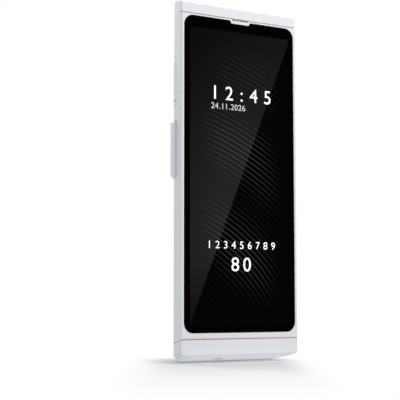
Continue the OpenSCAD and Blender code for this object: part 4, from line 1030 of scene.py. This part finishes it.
@dataclass
class Studio:
    """Pale floor, white surroundings, soft lights and the camera. Places on the floor are in metres."""

    camera_at: Triple = (-0.21788, -0.36270, -0.04770)
    heading: float = 29.221
    pitch: float = 5.412
    lens: float = 95.32
    sensor: float = 36.0
    clip: Pair = (0.01, 20.0)
    lamps: tuple[Lamp, ...] = (
        Lamp("key_light", (0.22, -0.70, 0.70), 0.30, 2.25, False), Lamp("top_light", (0.16, -0.18, 0.30), 0.16, 0.56),
        Lamp("left_fill", (-0.90, -0.15, 0.10), 0.60, 0.66), Lamp("back_light", (-0.16, 0.86, 0.44), 0.30, 2.1))
    surround: float = 0.56
    cool: Colour = (0.965, 0.99, 1.03)
    bounce: float = 0.66
    floor_z: float = -71.74 * MM
    floor_r: float = 3.0
    floor_sides: int = 96
    paper_grain: float = 900.0
    paper: tuple[Colour, Colour] = ((0.90, 0.90, 0.905), (0.93, 0.93, 0.935))
    pale_right: Pair = (0.016, 0.031)
    pale_left: Pair = (0.020, 0.042)
    pale_front: Pair = (0.070, 0.170)
    pale_behind: Pair = (0.004, 0.036)
    under_width: Pair = (0.021, 0.028)
    under_front: Quad = (-0.016, -0.008, 1.0, 1.42)
    under_back: Quad = (0.002, 0.005, 1.0, 0.45)
    behind: Pair = (0.007, 0.012)
    foot: Pair = (0.0265, 0.006)
    # reach, fall-off and levels of the painted shadow round the foot
    shade_reach: float = 0.070
    shade_power: float = 0.25
    shade_levels: Pair = (0.74, 0.98)

    def build(self) -> None:
        """Sets the stage."""
        self.camera()
        self.world()
        self.floor()
        for lamp in self.lamps:
            lamp.hang()

    def camera(self) -> None:
        """Places the camera at the object's front left, looking slightly up."""
        data = bpy.data.cameras.new("view")
        data.lens, data.sensor_width = self.lens, self.sensor
        data.clip_start, data.clip_end = self.clip
        turn, lift = math.radians(self.heading), math.radians(self.pitch)
        made = Bench.placed("view", data)
        made.location = self.camera_at
        Bench.aim(made, Vector((math.sin(turn) * math.cos(lift), math.cos(turn) * math.cos(lift), math.sin(lift))))
        bpy.context.scene.camera = made

    def world(self) -> None:
        """Makes white surroundings for what is seen, and a soft grey level for what is lit."""
        world = bpy.data.worlds.new("studio")
        world.use_nodes = True
        tree = Tree(world.node_tree)
        lit, seen = (tree.add("ShaderNodeBackground", {"Color": (*tone, 1.0), "Strength": level})
                     for tone, level in ((self.cool, self.surround), ((1.0,) * 3, 1.0)))
        mix = tree.mix(tree.rays("Camera", "Glossy", "Transmission"), lit, seen)
        tree.add("ShaderNodeOutputWorld", {"Surface": mix})
        bpy.context.scene.world = world

    def floor(self) -> None:
        """Makes the floor, pale near the object with a painted shadow round its foot, and white further out."""
        build = bmesh.new()
        bmesh.ops.create_circle(build, cap_ends=True, radius=self.floor_r, segments=self.floor_sides,
                                matrix=Matrix.Translation((0.0, 0.0, self.floor_z)))
        floor = Bench.object_of("floor", build)
        material = bpy.data.materials.new("floor_paper")
        material.use_nodes = True
        tree = Tree(material.node_tree)
        grain = tree.blend(tree.noise((self.paper_grain,) * 3, detail=3.0), *self.paper)
        paper = tree.add("ShaderNodeBsdfDiffuse", {"Color": tree.blend(self.shade(tree), (0.0,) * 3, grain)})
        white = tree.add("ShaderNodeEmission", {"Strength": 1.0})
        far = tree.calc("SUBTRACT", 1.0, self.pale(tree))
        mix = tree.mix(tree.product(far, tree.rays("Camera", "Glossy")), paper, white)
        lift = tree.add("ShaderNodeEmission", {"Color": (*self.cool, 1.0), "Strength": self.lift(tree)})
        lit = tree.mix(tree.rays("Diffuse"), mix, lift)
        tree.add("ShaderNodeOutputMaterial", {"Surface": lit})
        floor.data.materials.append(material)

    def pale(self, tree: Tree) -> Socket:
        """Marks the pale paper near the object, along the camera's axes.

        Args:
            tree: the floor's tree.

        Returns:
            1 near the object and 0 further out.
        """
        x, y, _ = tree.axes()
        cosine, sine = math.cos(math.radians(self.heading)), math.sin(math.radians(self.heading))
        side = tree.calc("SUBTRACT", tree.product(x, cosine), tree.product(y, sine))
        ahead = tree.calc("ADD", tree.product(x, sine), tree.product(y, cosine))
        pale = 1.0
        for value, sign, reach in ((side, 1.0, self.pale_right), (side, -1.0, self.pale_left),
                                   (ahead, -1.0, self.pale_front), (ahead, 1.0, self.pale_behind)):
            pale = tree.product(pale, tree.ramp(tree.product(value, sign), *reach, 1.0, 0.0))
        return pale

    def shade(self, tree: Tree) -> Socket:
        """Paints a shadow on the paper, darker towards the object's foot.

        Args:
            tree: the floor's tree.

        Returns:
            The paper's level.
        """
        x, y, _ = tree.axes()
        away = 0.0
        for value, half in ((x, self.foot[0]), (y, self.foot[1])):
            past = tree.calc("MAXIMUM", tree.calc("SUBTRACT", tree.calc("ABSOLUTE", value), half), 0.0)
            away = tree.calc("ADD", away, tree.calc("POWER", past, 2.0))
        near = tree.calc("POWER", tree.calc("DIVIDE", away, self.shade_reach ** 2), self.shade_power, clamp=True)
        return tree.ramp(near, 0.0, 1.0, *self.shade_levels, smooth=False)

    def lift(self, tree: Tree) -> Socket:
        """Sets the light that the floor sends up: its own levels under the object, and even elsewhere.

        Args:
            tree: the floor's tree.

        Returns:
            The light's strength.
        """
        x, y, _ = tree.axes()
        under = tree.product(tree.ramp(y, *self.under_front), tree.ramp(y, *self.under_back))
        along = tree.calc("MAXIMUM", under, tree.ramp(y, *self.behind))
        beside = tree.ramp(tree.calc("ABSOLUTE", x), *self.under_width)
        below = tree.calc("ADD", tree.product(along, tree.calc("SUBTRACT", 1.0, beside)), beside)
        return tree.product(below, self.bounce)


def main() -> None:
    """Builds every sub-assembly in order."""
    logging.basicConfig(level=logging.INFO, format="%(name)s: %(message)s", stream=sys.stdout)
    bpy.context.scene.view_settings.view_transform = "Standard"
    for assembly in (Studio(), Shells(), SideControls(), Screen(), CameraIsland(), Internals()):
        log.info("building %s", type(assembly).__name__)
        assembly.build()


if __name__ == "__main__":
    main()
